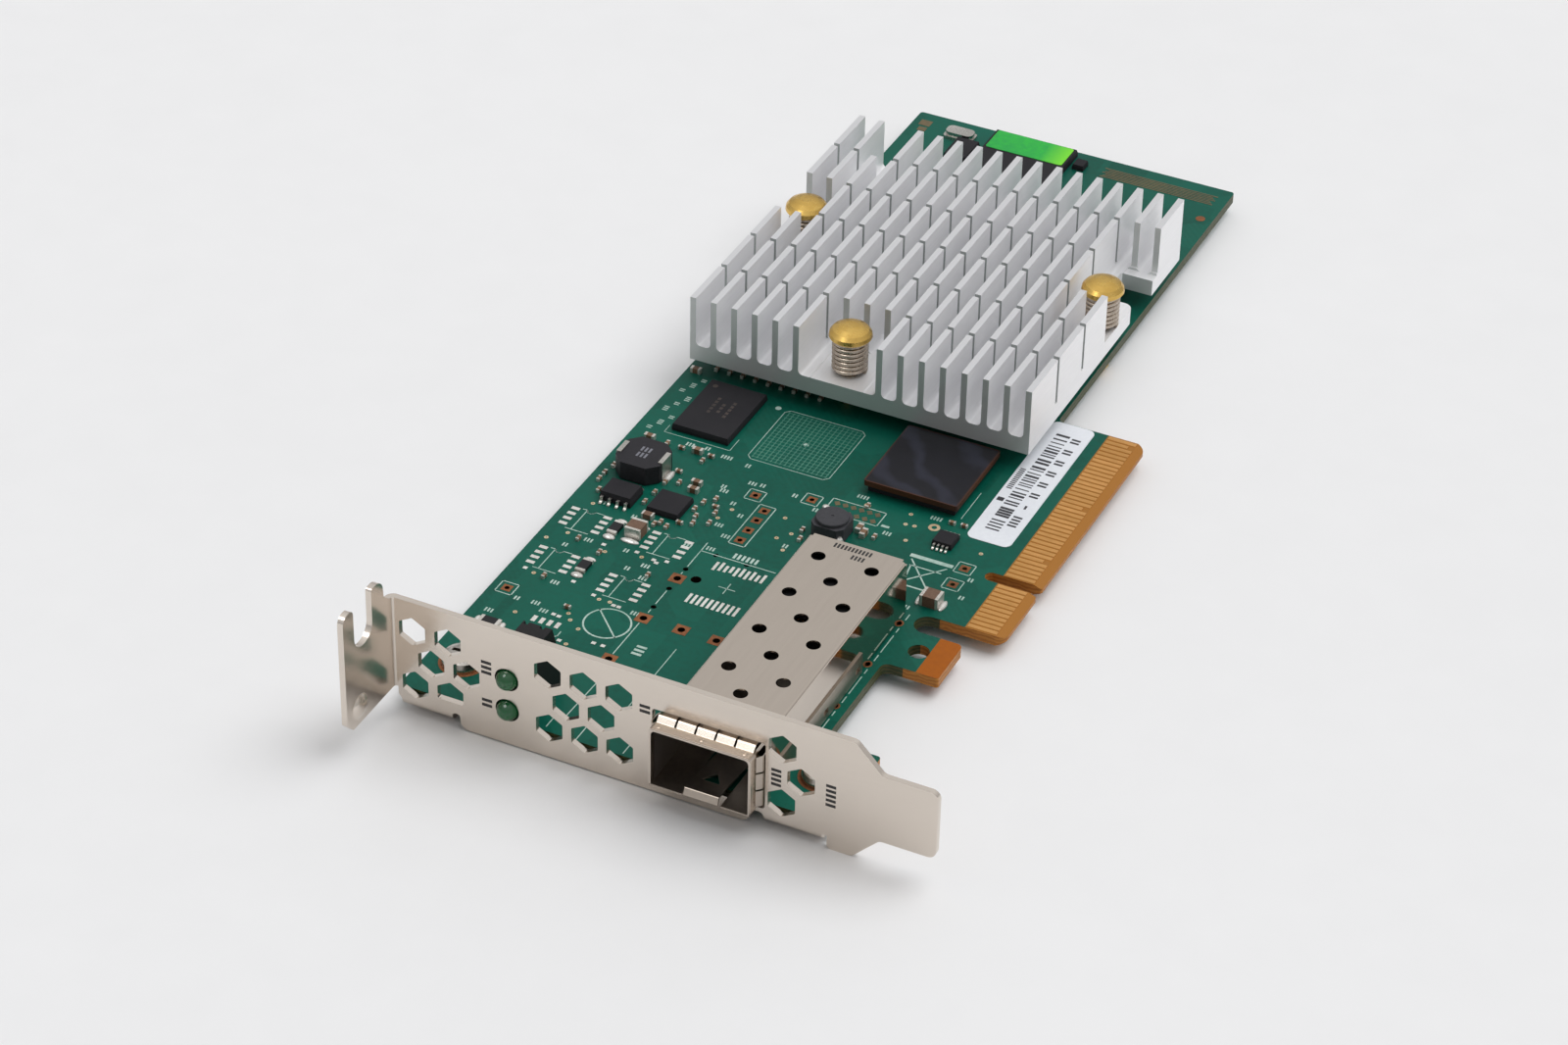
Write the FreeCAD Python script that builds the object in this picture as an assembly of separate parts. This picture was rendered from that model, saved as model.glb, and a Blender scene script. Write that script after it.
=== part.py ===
"""Low-profile network interface card: circuit board, bracket, cage and heatsink as separate pieces.

Frame, in millimetres: the origin is the edge connector's datum, on the tip of its tongue at the middle
of the key notch, on the component face of the board. +X points out of the tongue into the socket, +Y runs
from the bracket to the far end of the board, and +Z points away from the component face.
"""
import FreeCAD, Part
import math
import os

V = FreeCAD.Vector
os.makedirs("parts", exist_ok=True)

# Driving dimensions -------------------------------------------------------------------------------

# Circuit board
board_t = 1.57
board_left = -67.5
board_far = 110.2
board_near = -57.9
body_right = -12.35          # right edge between the tabs
far_right = -13.7            # right edge beyond the tongue
tongue_near, tongue_far = -12.15, 39.15
tongue_corner_r = 1.5
key_half_width = 0.95
key_depth = 8.1
bevel_depth, bevel_height = 1.2, 0.45
front_tab_right, front_tab_far = -4.15, -42.8
hold_tab_right, hold_tab_near, hold_tab_far = -4.35, -24.3, -16.0
slot_end_r = (tongue_near - hold_tab_far) / 2
hold_tab_hole = (-9.1, -20.0, 1.5)

# Edge contacts
contact_pitch = 1.0
contact_t = 0.05
contact_w = 0.7
contact_outer, contact_inner = -1.3, -5.6
short_contact_outer = -2.2
first_contacts = 11          # on the near side of the key notch
last_contact = 49

# Bracket
sheet_t = 0.86
bracket_face = -59.05
bracket_back = bracket_face + sheet_t
flange_inner = -67.5
flange_outer = flange_inner - sheet_t
bracket_top = 15.2
flange_bottom = 0.65
fold_reach = 0.5
fold_inner_r = 0.4
foot_top = -board_t
foot_root = foot_top + 0.4
foot_far = -46.4
left_foot = (-66.5, -58.9)
right_foot = (-13.3, -5.0)
bracket_screw_y = -50.0
bracket_screw_x = (-62.4, -9.2)
tapped_hole_r = 1.5
flange_dimple, dimple_r, dimple_rise = (-68.0, 3.3), 1.85, 0.75
vent_flats = 3.9
lamp_x = -50.6
lamp_z = (7.45, 2.45)
lamp_hole_r = 1.75
port_opening = (-29.35, -13.15, -0.2, 10.45)

# Port cage
cage_left, cage_right = -28.45, -14.05
cage_top = 9.3
cage_front, cage_rear = -61.7, -13.6
cage_t = 0.25
cage_floor = 0.1
left_pin_y = (-20.15, -30.3, -40.45, -50.6)
right_pin_y = (-15.5, -25.65, -35.8, -45.95)
cage_vent_r = 1.0
cage_vent_pitch = 9.07
collar_t = 0.12
top_fingers, side_fingers, finger_gap = 5, 3, 0.3
finger_rise = 0.68
latch_x = (-23.4, -18.5)
latch_root = -50.5
latch_gap = 0.35

# Heatsink
sink_left, sink_right = -66.7, -12.9
sink_near, sink_far = 25.9, 84.1
sink_bottom, sink_base_top, sink_top = 2.5, 5.1, 13.2
fin_count = 17
fin_t = 0.95
cross_cut_w = 0.7
cross_cut_count = 5
pin_places = ((-43.1, 30.4), (-63.6, 58.6), (-15.4, 58.4))
pin_hole_r = 1.4

# Shared shapes ------------------------------------------------------------------------------------


def box(x, y, z):
    """A block between the limits (low, high) on each axis."""
    return Part.makeBox(x[1] - x[0], y[1] - y[0], z[1] - z[0], V(x[0], y[0], z[0]))


def block(centre, size, bottom):
    """A block of size (x, y, z) standing at height bottom over a centre (x, y)."""
    corner = V(centre[0] - size[0] / 2, centre[1] - size[1] / 2, bottom)
    return Part.makeBox(size[0], size[1], size[2], corner)


def rod(centre, radius, z):
    """An upright cylinder."""
    return Part.makeCylinder(radius, z[1] - z[0], V(centre[0], centre[1], z[0]))


def rounded_wire(corners, place):
    """A closed wire through corners (u, v) or (u, v, radius), each put in space by place(u, v)."""
    corners = [tuple(corner) + (0,) * (3 - len(corner)) for corner in corners]
    points = []
    for index, (u, v, radius) in enumerate(corners):
        here = V(u, v, 0)
        before = V(*corners[index - 1][:2], 0) - here
        after = V(*corners[(index + 1) % len(corners)][:2], 0) - here
        before.normalize()
        after.normalize()
        half = before.getAngle(after) / 2
        if radius == 0 or abs(half - math.pi / 2) < 1e-6:
            points.append((here,))
            continue
        reach = radius / math.tan(half)
        middle = (before + after).normalize()
        centre = here + middle * (radius / math.sin(half))
        points.append((here + before * reach, centre - middle * radius, here + after * reach))
    edges = []
    for index, stretch in enumerate(points):
        if len(stretch) == 3:
            edges.append(Part.Arc(*[place(p.x, p.y) for p in stretch]).toShape())
        start, end = stretch[-1], points[(index + 1) % len(points)][0]
        if start.distanceToPoint(end) > 1e-6:
            edges.append(Part.LineSegment(place(start.x, start.y), place(end.x, end.y)).toShape())
    return Part.Wire(Part.__sortEdges__(edges))


def plate_z(corners, low, high):
    """A flat outline in X and Y, given height along Z."""
    wire = rounded_wire(corners, lambda u, v: V(u, v, low))
    return Part.Face(wire).extrude(V(0, 0, high - low))


def plate_y(corners, low, high):
    """An outline in X and Z, given length along Y."""
    wire = rounded_wire(corners, lambda u, v: V(u, low, v))
    return Part.Face(wire).extrude(V(0, high - low, 0))


def plate_x(corners, low, high):
    """An outline in Y and Z, given width along X."""
    wire = rounded_wire(corners, lambda u, v: V(low, u, v))
    return Part.Face(wire).extrude(V(high - low, 0, 0))


def rectangle(u, v, radius=0):
    """The corners of a rectangle between limits, all with one corner radius."""
    return [(u[0], v[0], radius), (u[1], v[0], radius), (u[1], v[1], radius), (u[0], v[1], radius)]


def folded_sheet(path, thickness):
    """The outline of a sheet: a path of (u, v) or (u, v, radius), thickened to its left.

    A radius is that of the path's own side; the far side of the sheet turns round the same centre.
    """
    path = [tuple(point) + (0,) * (3 - len(point)) for point in path]
    directions = []
    for (u0, v0, _), (u1, v1, _) in zip(path, path[1:]):
        length = math.hypot(u1 - u0, v1 - v0)
        directions.append(((u1 - u0) / length, (v1 - v0) / length))
    far_side = []
    for index, (u, v, radius) in enumerate(path):
        du0, dv0 = directions[max(index - 1, 0)]
        du1, dv1 = directions[min(index, len(directions) - 1)]
        scale = thickness / (1 + du0 * du1 + dv0 * dv1)
        turn = du0 * dv1 - dv0 * du1
        far_radius = radius + math.copysign(thickness, -turn) if radius else 0
        far_side.append((u - (dv0 + dv1) * scale, v + (du0 + du1) * scale, max(far_radius, 0)))
    return path + far_side[::-1]


def turned(profile, centre):
    """A solid of revolution about an upright axis, from a closed profile of (radius, z)."""
    points = [V(centre[0] + r, centre[1], z) for r, z in profile]
    face = Part.Face(Part.makePolygon(points + points[:1]))
    return face.revolve(V(centre[0], centre[1], 0), V(0, 0, 1), 360)


def together(shapes):
    """Separate solids that belong to one node."""
    return Part.makeCompound(shapes)


def fused(shapes):
    """One solid from overlapping or touching shapes."""
    shape = shapes[0].fuse(shapes[1:]).removeSplitter()
    return shape.Solids[0] if len(shape.Solids) == 1 else shape


def save(name, shape):
    """Write one sub-part under its node's name."""
    shape.exportStep(f"parts/{name}.step")
    print(f"{name}: {len(shape.Solids)} solid(s), {shape.Volume:.1f} mm3, valid {shape.isValid()}")


# Circuit board ------------------------------------------------------------------------------------

# Plated holes (x, y, radius): cage footprints of this port and of the unused one, then test points.
port_centre = (cage_left + cage_right) / 2
spare_port_offset = -17.1
side_pin_x = 7.05
footprint_holes = [(port_centre - side_pin_x, y, 0.52) for y in left_pin_y]
footprint_holes += [(port_centre + side_pin_x, y, 0.52) for y in right_pin_y]
footprint_holes += [(x + spare_port_offset, y, 0.52) for x, y, _ in footprint_holes[:3]]
floor_pin_x = (-1.3, 4.0)
floor_pin_y = -30.3
footprint_holes += [(port_centre + dx, floor_pin_y, 0.52) for dx in floor_pin_x]
footprint_holes += [(port_centre + dx + spare_port_offset, floor_pin_y, 0.52) for dx in floor_pin_x]
via_holes = [(-45.35, -17.7, 0.4), (-45.35, -22.7, 0.4), (-45.35, -27.4, 0.4), (-43.0, -19.2, 0.75),
             (-43.1, -12.9, 0.4), (-38.3, -13.0, 0.4)]
test_holes = [(-65.1, -32.7, 0.35), (-44.5, 2.4, 0.35), (-36.95, 5.1, 0.35), (-11.2, 0.0, 0.35),
              (-11.2, -4.1, 0.35)]
test_holes += [(-41.7, y, 0.35) for y in (-0.45, -2.95, -5.6, -8.2)]
lamp_lead_x = [lamp_x - 2.08 + 1.27 * k for k in range(4)]
lamp_lead_y = -49.3
lead_hole_r = 0.42
screw_hole_r = 1.7


def circuit_board():
    """The fibreglass board, with its tongue, key notch, holding tabs and holes."""
    outline = [
        (board_left, board_near, 0.5), (front_tab_right, board_near, 0.5),
        (front_tab_right, front_tab_far, 0.5), (body_right, front_tab_far, 1.2),
        (body_right, hold_tab_near, 1.2), (hold_tab_right, hold_tab_near, 0.4),
        (hold_tab_right, hold_tab_far, 0.9), (body_right, hold_tab_far, slot_end_r - 0.01),
        (body_right, tongue_near, slot_end_r - 0.01), (0, tongue_near, tongue_corner_r),
        (0, -key_half_width, 0.4), (-key_depth, -key_half_width, key_half_width - 0.01),
        (-key_depth, key_half_width, key_half_width - 0.01), (0, key_half_width, 0.4),
        (0, tongue_far, tongue_corner_r), (far_right, tongue_far, 0.8),
        (far_right, board_far, 0.5), (board_left, board_far, 0.5),
    ]
    board = plate_z(outline, -board_t, 0)
    for z_face, z_far in ((0, 1), (-board_t, -board_t - 1)):
        inward = -bevel_height if z_face == 0 else bevel_height
        corners = [V(-bevel_depth, 0, z_face), V(0.2, 0, z_face + inward * (1 + 0.2 / bevel_depth)),
                   V(0.2, 0, z_far), V(-bevel_depth, 0, z_far)]
        wedge = Part.Face(Part.makePolygon(corners + corners[:1]))
        wedge.translate(V(0, tongue_near - 1, 0))
        board = board.cut(wedge.extrude(V(0, tongue_far - tongue_near + 2, 0)))
    holes = [hold_tab_hole] + footprint_holes + via_holes + test_holes
    holes += [(x, bracket_screw_y, screw_hole_r) for x in bracket_screw_x]
    holes += [(x, y, pin_hole_r) for x, y in pin_places]
    holes += [(x, lamp_lead_y, lead_hole_r) for x in lamp_lead_x]
    cutters = [rod(hole[:2], hole[2], (-board_t - 1, 1)) for hole in holes]
    return board.cut(together(cutters)).Solids[0]


def edge_contacts():
    """Gold-plated contact fingers on both faces of the tongue."""
    near_side = [-1.5 - contact_pitch * k for k in range(first_contacts)]
    far_side = [1.5 + contact_pitch * k for k in range(last_contact - first_contacts)]
    short_top = {6.5, 20.5, 37.5}
    short_bottom = {-11.5}
    fingers = []
    for z_low, short in ((0, short_top), (-board_t - contact_t, short_bottom)):
        for y in near_side + far_side:
            outer = short_contact_outer if y in short else contact_outer
            fingers.append(box((contact_inner, outer), (y - contact_w / 2, y + contact_w / 2),
                               (z_low, z_low + contact_t)))
    return together(fingers)


# Bracket and its screws ---------------------------------------------------------------------------

vent_rows = (
    (10.44, (-64.6, -59.3, -44.55, -39.35, -34.15, -10.8)),
    (6.05, (-61.85, -56.6, -41.9, -36.75, -8.1)),
    (1.72, (-64.35, -59.1, -44.4, -39.2, -34.05, -10.8)),
)
clipped_vent_x = -59.1
clipped_vent_floor = 0.75


def vent_outline(x, z):
    """A hexagon standing on a corner; the one over the left foot has a flat floor."""
    half = vent_flats / 2
    tip = vent_flats / math.sqrt(3)
    upper = [(x + half, z + tip / 2, 0.25), (x, z + tip, 0.25), (x - half, z + tip / 2, 0.25)]
    if x == clipped_vent_x:
        return upper + [(x - half, clipped_vent_floor, 0.25), (x + half, clipped_vent_floor, 0.25)]
    return upper + [(x - half, z - tip / 2, 0.25), (x, z - tip, 0.25), (x + half, z - tip / 2, 0.25)]


def bracket_plate():
    """The upright face, from the fold on the left to the end of the tongue on the right."""
    outline = [
        (flange_inner + fold_reach, flange_bottom), (-67.0, -0.6, 0.8), (left_foot[0], foot_root),
        (left_foot[1], foot_root), (left_foot[1], -0.9, 0.55), (-57.7, -0.9, 0.55), (-57.7, -3.1, 1.2),
        (-15.3, -3.1, 1.2), (-15.3, -0.9, 0.6), (right_foot[0], -0.9, 0.6), (right_foot[0], foot_root),
        (right_foot[1], foot_root), (-4.3, foot_root), (-4.3, -3.3, 0.5), (-0.8, -3.3, 1.2),
        (3.0, 0.6, 1.0), (10.85, 0.6, 1.2), (10.85, 11.1, 1.2), (3.2, 11.1, 1.2),
        (-0.7, bracket_top, 1.2), (flange_inner + fold_reach, bracket_top),
    ]
    return plate_y(outline, bracket_face, bracket_back)


def bracket_fold():
    """The bend between the face and the flange."""
    outline = [
        (flange_outer, bracket_face - fold_reach), (flange_inner, bracket_face - fold_reach),
        (flange_inner, bracket_face, fold_inner_r), (flange_inner + fold_reach, bracket_face),
        (flange_inner + fold_reach, bracket_back), (flange_outer, bracket_back, fold_inner_r + sheet_t),
    ]
    return plate_z(outline, flange_bottom, bracket_top)


def bracket_flange():
    """The flange bent forward at the left, with the open slot for the chassis screw and a dimple."""
    root = bracket_face - fold_reach
    outline = [
        (root, flange_bottom), (-69.9, flange_bottom, 0.3), (-71.3, 2.2, 0.3), (-71.3, 19.6, 1.3),
        (-68.7, 19.6, 1.0), (-68.7, 12.45, 2.25), (-64.1, 12.45, 2.25), (-64.1, 19.6, 0.5),
        (-61.3, 19.6, 1.9), (-61.0, 16.4, 1.0), (root, bracket_top),
    ]
    flange = plate_x(outline, flange_outer, flange_inner)
    ball_r = (dimple_r ** 2 + dimple_rise ** 2) / (2 * dimple_rise)
    ball_centre = V(flange_inner + dimple_rise - ball_r, *flange_dimple)
    beyond_sheet = plate_x(outline, flange_inner - sheet_t / 2, flange_inner + sheet_t)
    dome = Part.makeSphere(ball_r, ball_centre).common(beyond_sheet)
    hollow = Part.makeSphere(ball_r - sheet_t, ball_centre)
    return flange.fuse(dome).cut(hollow)


def bracket_foot(limits):
    """A foot bent back under the board, tapped for a screw."""
    bottom = foot_top - sheet_t
    bend = plate_x([(bracket_face, foot_root), (bracket_face, bottom, 1.15), (foot_far, bottom),
                    (foot_far, foot_top), (bracket_back, foot_top, 0.27), (bracket_back, foot_root)],
                   *limits)
    plan = plate_z([(limits[0], bracket_face), (limits[1], bracket_face), (limits[1], foot_far, 1.5),
                    (limits[0], foot_far, 1.5)], bottom, foot_root)
    return bend.common(plan)


def bracket():
    """The nickel-plated steel bracket, stamped and folded from one sheet."""
    feet = [bracket_foot(limits) for limits in (left_foot, right_foot)]
    body = fused([bracket_plate(), bracket_fold(), bracket_flange()] + feet)
    cutters = []
    for z, row in vent_rows:
        cutters += [plate_y(vent_outline(x, z), bracket_face - 1, bracket_back + 1) for x in row]
    for z in lamp_z:
        cutters.append(Part.makeCylinder(lamp_hole_r, 3, V(lamp_x, bracket_face - 1, z), V(0, 1, 0)))
    x_low, x_high, z_low, z_high = port_opening
    cutters.append(plate_y(rectangle((x_low, x_high), (z_low, z_high), 0.5),
                           bracket_face - 1, bracket_back + 1))
    cutters += [rod((x, bracket_screw_y), tapped_hole_r, (-5, 0)) for x in bracket_screw_x]
    return body.cut(together(cutters)).Solids[0]


def bracket_screws():
    """Pan-head screws, cross-recessed, through the board into the bracket's feet."""
    head_r, head_h, shank_r, recess_depth = 2.8, 1.9, 1.5, 1.1
    tip = foot_top - sheet_t - 0.5
    screws = []
    for x in bracket_screw_x:
        head = turned([(0, 0), (head_r, 0), (head_r, 0.7), (2.55, 1.35), (1.7, 1.75), (0.8, head_h),
                       (0, head_h)], (x, bracket_screw_y))
        shank = turned([(0, 0), (shank_r, 0), (shank_r, tip + 0.3), (shank_r - 0.3, tip), (0, tip)],
                       (x, bracket_screw_y))
        recess = block((x, bracket_screw_y), (2.9, 0.62, 3), head_h - recess_depth)
        cross = recess.copy()
        cross.rotate(V(x, bracket_screw_y, 0), V(0, 0, 1), 90)
        screws.append(fused([head, shank]).cut(recess.fuse(cross)))
    return together(screws)


# Port cage ----------------------------------------------------------------------------------------


def cage_pin(x_centre, y_centre, top):
    """A flat tail that goes down through the board."""
    return block((x_centre, y_centre), (cage_t, 0.8, top + 2.6), -2.6)


def cage_shell():
    """The folded upper shell: top with vent holes, two side walls, a rear wall and its tails."""
    wall_bottom = cage_floor + cage_t
    section = [(cage_left, wall_bottom), (cage_left, cage_top, 0.4), (cage_right, cage_top, 0.4),
               (cage_right, wall_bottom)]
    shell = plate_y(folded_sheet(section, -cage_t), cage_front, cage_rear)
    rear = box((cage_left + cage_t, cage_right - cage_t), (cage_rear - cage_t, cage_rear),
               (3.0, cage_top - cage_t))
    pins = []
    for wall, places in ((cage_left + cage_t / 2, left_pin_y), (cage_right - cage_t / 2, right_pin_y)):
        pins += [cage_pin(wall, y, wall_bottom + 0.2) for y in places]
    shell = fused([shell, rear] + pins)
    vents = []
    for row in range(4):
        y_outer = -18.1 - cage_vent_pitch * row
        vents += [(port_centre - 3.95, y_outer), (port_centre + 3.95, y_outer),
                  (port_centre, y_outer - cage_vent_pitch / 2)]
    cutters = [rod(place, cage_vent_r, (cage_top - 1, cage_top + 1)) for place in vents]
    for corner_x in (cage_left, cage_right):
        cutters.append(block((corner_x, cage_rear), (1.1, 1.1, 2), cage_top - 0.6))
    return shell.cut(together(cutters)).Solids[0]


def cage_base():
    """The lower shell: floor, low outer side strips and the springy latch tongue in the mouth."""
    strip_far = -28.0
    strip_top = 3.6
    section = [(cage_left - cage_t, strip_top), (cage_left - cage_t, cage_floor, cage_t),
               (cage_right + cage_t, cage_floor, cage_t), (cage_right + cage_t, strip_top)]
    tray = plate_y(folded_sheet(section, cage_t), cage_front + 5.6, strip_far)
    floor = box((cage_left, cage_right), (cage_front, strip_far), (cage_floor, cage_floor + cage_t))
    slot = box((latch_x[0] - latch_gap, latch_x[1] + latch_gap), (cage_front - 1, latch_root),
               (cage_floor - 0.5, cage_floor + 1))
    path = [(latch_root + 0.1, cage_floor), (latch_root - 1.5, cage_floor, 2.0),
            (cage_front + 3.0, 1.05, 3.0), (cage_front + 0.35, 1.2, 0.45), (cage_front + 0.05, 0.35)]
    latch = plate_x(folded_sheet(path, -cage_t), *latch_x)
    middle = (latch_x[0] + latch_x[1]) / 2
    triangle = plate_z([(middle - 1.3, cage_front + 2.8), (middle + 1.3, cage_front + 2.8),
                        (middle, cage_front + 5.0)], 0, 3)
    cutters = [block((x, y), (2 * cage_t, 1.4, 0.9), 1.1)
               for x in (cage_left - cage_t, cage_right + cage_t) for y in (-39.3, -29.4)]
    for wall, places in ((cage_left + cage_t / 2, left_pin_y), (cage_right - cage_t / 2, right_pin_y)):
        cutters += [block((wall, y), (cage_t + 0.1, 1.0, 2), -1) for y in places]
    pins = [cage_pin(port_centre + dx, floor_pin_y, cage_floor + 0.1) for dx in floor_pin_x]
    body = fused([tray, floor] + pins).cut(slot)
    body = fused([body, latch.cut(triangle)])
    return body.cut(together(cutters)).Solids[0]


def collar_finger(wall, outward):
    """The outline of one spring finger: it springs off the wall, passes the bracket and comes back."""
    root, crest, tail = cage_front + 1.3, bracket_face - 0.4, bracket_back + 1.5
    high = wall + outward * finger_rise
    path = [(root, wall), (crest - finger_rise, wall, 0.2), (crest, high, 0.2),
            (bracket_back + 0.2, high, 0.4), (tail, wall + outward * 0.1)]
    return folded_sheet(path, outward * collar_t)


def cage_spring_collar():
    """The plated spring collar round the mouth, whose fingers press on the bracket's opening."""
    low = 0.55
    path = [(cage_left, low), (cage_left, cage_top, 0.4), (cage_right, cage_top, 0.4), (cage_right, low)]
    pieces = [plate_y(folded_sheet(path, collar_t), cage_front + 0.05, cage_front + 1.5)]
    top_pitch = (cage_right - cage_left - 0.3) / top_fingers
    for k in range(top_fingers):
        x = cage_left + 0.15 + top_pitch * k
        outline = collar_finger(cage_top, 1)
        pieces.append(plate_x(outline, x + finger_gap / 2, x + top_pitch - finger_gap / 2))
    side_pitch = (cage_top - 0.4 - low) / side_fingers
    for wall, outward in ((cage_left, -1), (cage_right, 1)):
        outline = [(u, v) + tuple(r) for v, u, *r in collar_finger(wall, outward)]
        for k in range(side_fingers):
            z = low + side_pitch * k
            pieces.append(plate_z(outline, z + finger_gap / 2, z + side_pitch - finger_gap / 2))
    return fused(pieces)


# Port connector -----------------------------------------------------------------------------------

connector_x = (port_centre - 6.1, port_centre + 6.1)
connector_y = (-27.4, -15.4)
connector_top = 8.3
card_slot_z = (3.6, 4.9)
connector_rows = 10
connector_pitch = 0.8


def port_connector():
    """The moulded 20-way connector at the back of the cage, with its slot for the module's board."""
    body = plate_x([(connector_y[0], 0.4), (connector_y[1], 0.4), (connector_y[1], 6.8, 0.3),
                    (connector_y[1] - 2.2, connector_top, 0.6), (connector_y[0], connector_top, 0.3)],
                   *connector_x)
    slot = box((port_centre - 5.2, port_centre + 5.2), (connector_y[0] - 1, connector_y[0] + 7),
               card_slot_z)
    relief = box((port_centre - 5.2, port_centre + 5.2), (connector_y[0] - 1, connector_y[0] + 1.2),
                 (card_slot_z[0] - 0.8, card_slot_z[1] + 0.8))
    pegs = [rod((port_centre + dx, -17.0), 0.7, (0, 0.5)) for dx in (-5.0, 5.0)]
    return fused([body] + pegs).cut(slot.fuse(relief))


def port_contacts():
    """Spring contacts: an upper and a lower row, each with a tail soldered to the board."""
    contacts = []
    width = 0.3
    slot_end = connector_y[0] + 6.8
    for k in range(connector_rows):
        x = port_centre + (k - (connector_rows - 1) / 2) * connector_pitch
        upper = [(connector_y[0] + 0.6, card_slot_z[1] - 0.02), (slot_end, card_slot_z[1] - 0.02)]
        lower = [(connector_y[0] + 0.6, card_slot_z[0] + 0.17), (slot_end, card_slot_z[0] + 0.17)]
        for path in (upper, lower):
            contacts.append(plate_x(folded_sheet(path, -0.15), x - width / 2, x + width / 2))
        contacts.append(block((x, connector_y[1] + 0.6), (width, 1.2, 0.15), 0))
        contacts.append(block((x, connector_y[0] - 0.25), (width, 0.5, 0.15), 0))
    return together(contacts)


# Heatsink and its fastening -----------------------------------------------------------------------

fin_pitch = (sink_right - sink_left - fin_t) / (fin_count - 1)
segment = (sink_far - sink_near) / (cross_cut_count + 1)


def fin_x(index):
    """The middle of a fin, counted from the left."""
    return sink_left + fin_t / 2 + fin_pitch * index


def pocket(first_fin, last_fin, y_limits):
    """The space left where fins are milled away down to the base."""
    return box((fin_x(first_fin) - fin_t / 2 - 0.4, fin_x(last_fin) + fin_t / 2 + 0.4),
               y_limits, (sink_base_top, sink_top + 1))


def heatsink():
    """The extruded aluminium heatsink, cross-cut into pin rows and milled round its three fasteners."""
    body = box((sink_left, sink_right), (sink_near, sink_far), (sink_bottom, sink_top))
    gap = fin_pitch - fin_t
    cutters = []
    for index in range(fin_count - 1):
        x_low = fin_x(index) + fin_t / 2
        groove = [(x_low, sink_base_top, 0.75), (x_low + gap, sink_base_top, 0.75),
                  (x_low + gap, sink_top + 1), (x_low, sink_top + 1)]
        cutters.append(plate_y(groove, sink_near - 1, sink_far + 1))
    for k in range(1, cross_cut_count + 1):
        y = sink_near + segment * k
        cutters.append(box((sink_left - 1, sink_right + 1), (y - cross_cut_w / 2, y + cross_cut_w / 2),
                           (sink_base_top + 0.4, sink_top + 1)))
    cutters.append(pocket(6, 8, (sink_near - 1, sink_near + segment)))
    cutters.append(pocket(0, 1, (54.2, sink_near + 4 * segment)))
    cutters.append(pocket(15, 16, (53.9, sink_near + 5 * segment)))
    cutters.append(pocket(2, 2, (sink_near + 5 * segment, sink_far + 1)))
    notch = [(-18.0, 65.3, 0.5), (sink_right - 1.5, 65.3), (sink_right, 65.3, 1.4), (sink_right, 63.0),
             (sink_right + 1, 63.0), (sink_right + 1, 72.8), (-18.0, 72.8, 0.5)]
    cutters.append(plate_z(notch, sink_bottom - 1, sink_base_top + 1))
    cutters += [rod(place, 1.75, (sink_bottom - 1, sink_top)) for place in pin_places]
    cutters += [rod(place, 3.45, (sink_base_top, sink_top + 1)) for place in pin_places]
    return body.cut(together(cutters)).Solids[0]


pin_head_bottom = 10.9


def heatsink_pins():
    """Brass push pins with domed heads, whose split barbs snap through the board."""
    head_r, shank_r, barb_r, tip_r = 3.2, 1.25, 1.7, 0.9
    barb_top, tip = -board_t, -3.1
    pins = []
    for place in pin_places:
        profile = [(0, tip), (tip_r, tip), (barb_r, barb_top - 0.3), (barb_r, barb_top),
                   (shank_r, barb_top), (shank_r, pin_head_bottom - 1.0), (1.75, pin_head_bottom - 1.0),
                   (1.75, pin_head_bottom), (head_r - 0.15, pin_head_bottom),
                   (head_r, pin_head_bottom + 0.25), (head_r - 0.1, pin_head_bottom + 0.8),
                   (head_r - 0.55, pin_head_bottom + 1.35), (head_r - 1.4, pin_head_bottom + 1.8),
                   (1.0, pin_head_bottom + 2.0), (0, pin_head_bottom + 2.05)]
        pin = turned(profile, place)
        split = block(place, (0.6, 2 * barb_r + 1, 4.2), tip - 1)
        pins.append(pin.cut(split))
    return together(pins)


def heatsink_springs():
    """Steel compression springs, held between the base and the pin heads."""
    wire_r, coil_r, turns = 0.32, 2.35, 7
    springs = []
    bottom = sink_base_top + wire_r
    height = pin_head_bottom - sink_base_top - 2 * wire_r
    for x, y in pin_places:
        path = Part.makeHelix(height / turns, height, coil_r)
        start = Part.Wire(Part.makeCircle(wire_r, V(coil_r, 0, 0), V(0, 1, 0)))
        spring = Part.Wire(path).makePipeShell([start], True, True)
        spring.translate(V(x, y, bottom))
        springs.append(spring)
    return together(springs)


# Controller under the heatsink --------------------------------------------------------------------

controller_centre = (-39.8, 55.0)


def controller_substrate():
    """The laminate carrier of the main chip."""
    return block(controller_centre, (31, 31, 1.1), 0)


def controller_lid():
    """The stamped metal lid over the main chip."""
    x, y = controller_centre
    lid = plate_z(rectangle((x - 13.5, x + 13.5), (y - 13.5, y + 13.5), 1.5), 1.1, 2.2)
    return lid


def thermal_pad():
    """The soft pad that carries heat from the lid to the heatsink."""
    return block(controller_centre, (25, 25, sink_bottom - 2.2), 2.2)


# Chips on the board -------------------------------------------------------------------------------


def moulded_body(centre, size, bottom=0.1):
    """A moulded package: straight lower half and drafted upper half."""
    x, y = centre
    sx, sy, sz = size
    draft = 0.12 * sz
    low = block(centre, (sx, sy, sz * 0.45), bottom)
    z_mid, z_top = bottom + sz * 0.45, bottom + sz
    loops = []
    for inset, z in ((0, z_mid), (draft, z_top)):
        corners = rectangle((x - sx / 2 + inset, x + sx / 2 - inset),
                            (y - sy / 2 + inset, y + sy / 2 - inset))
        loops.append(rounded_wire(corners, lambda u, v, z=z: V(u, v, z)))
    return fused([low, Part.makeLoft(loops, True, True)])


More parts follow.
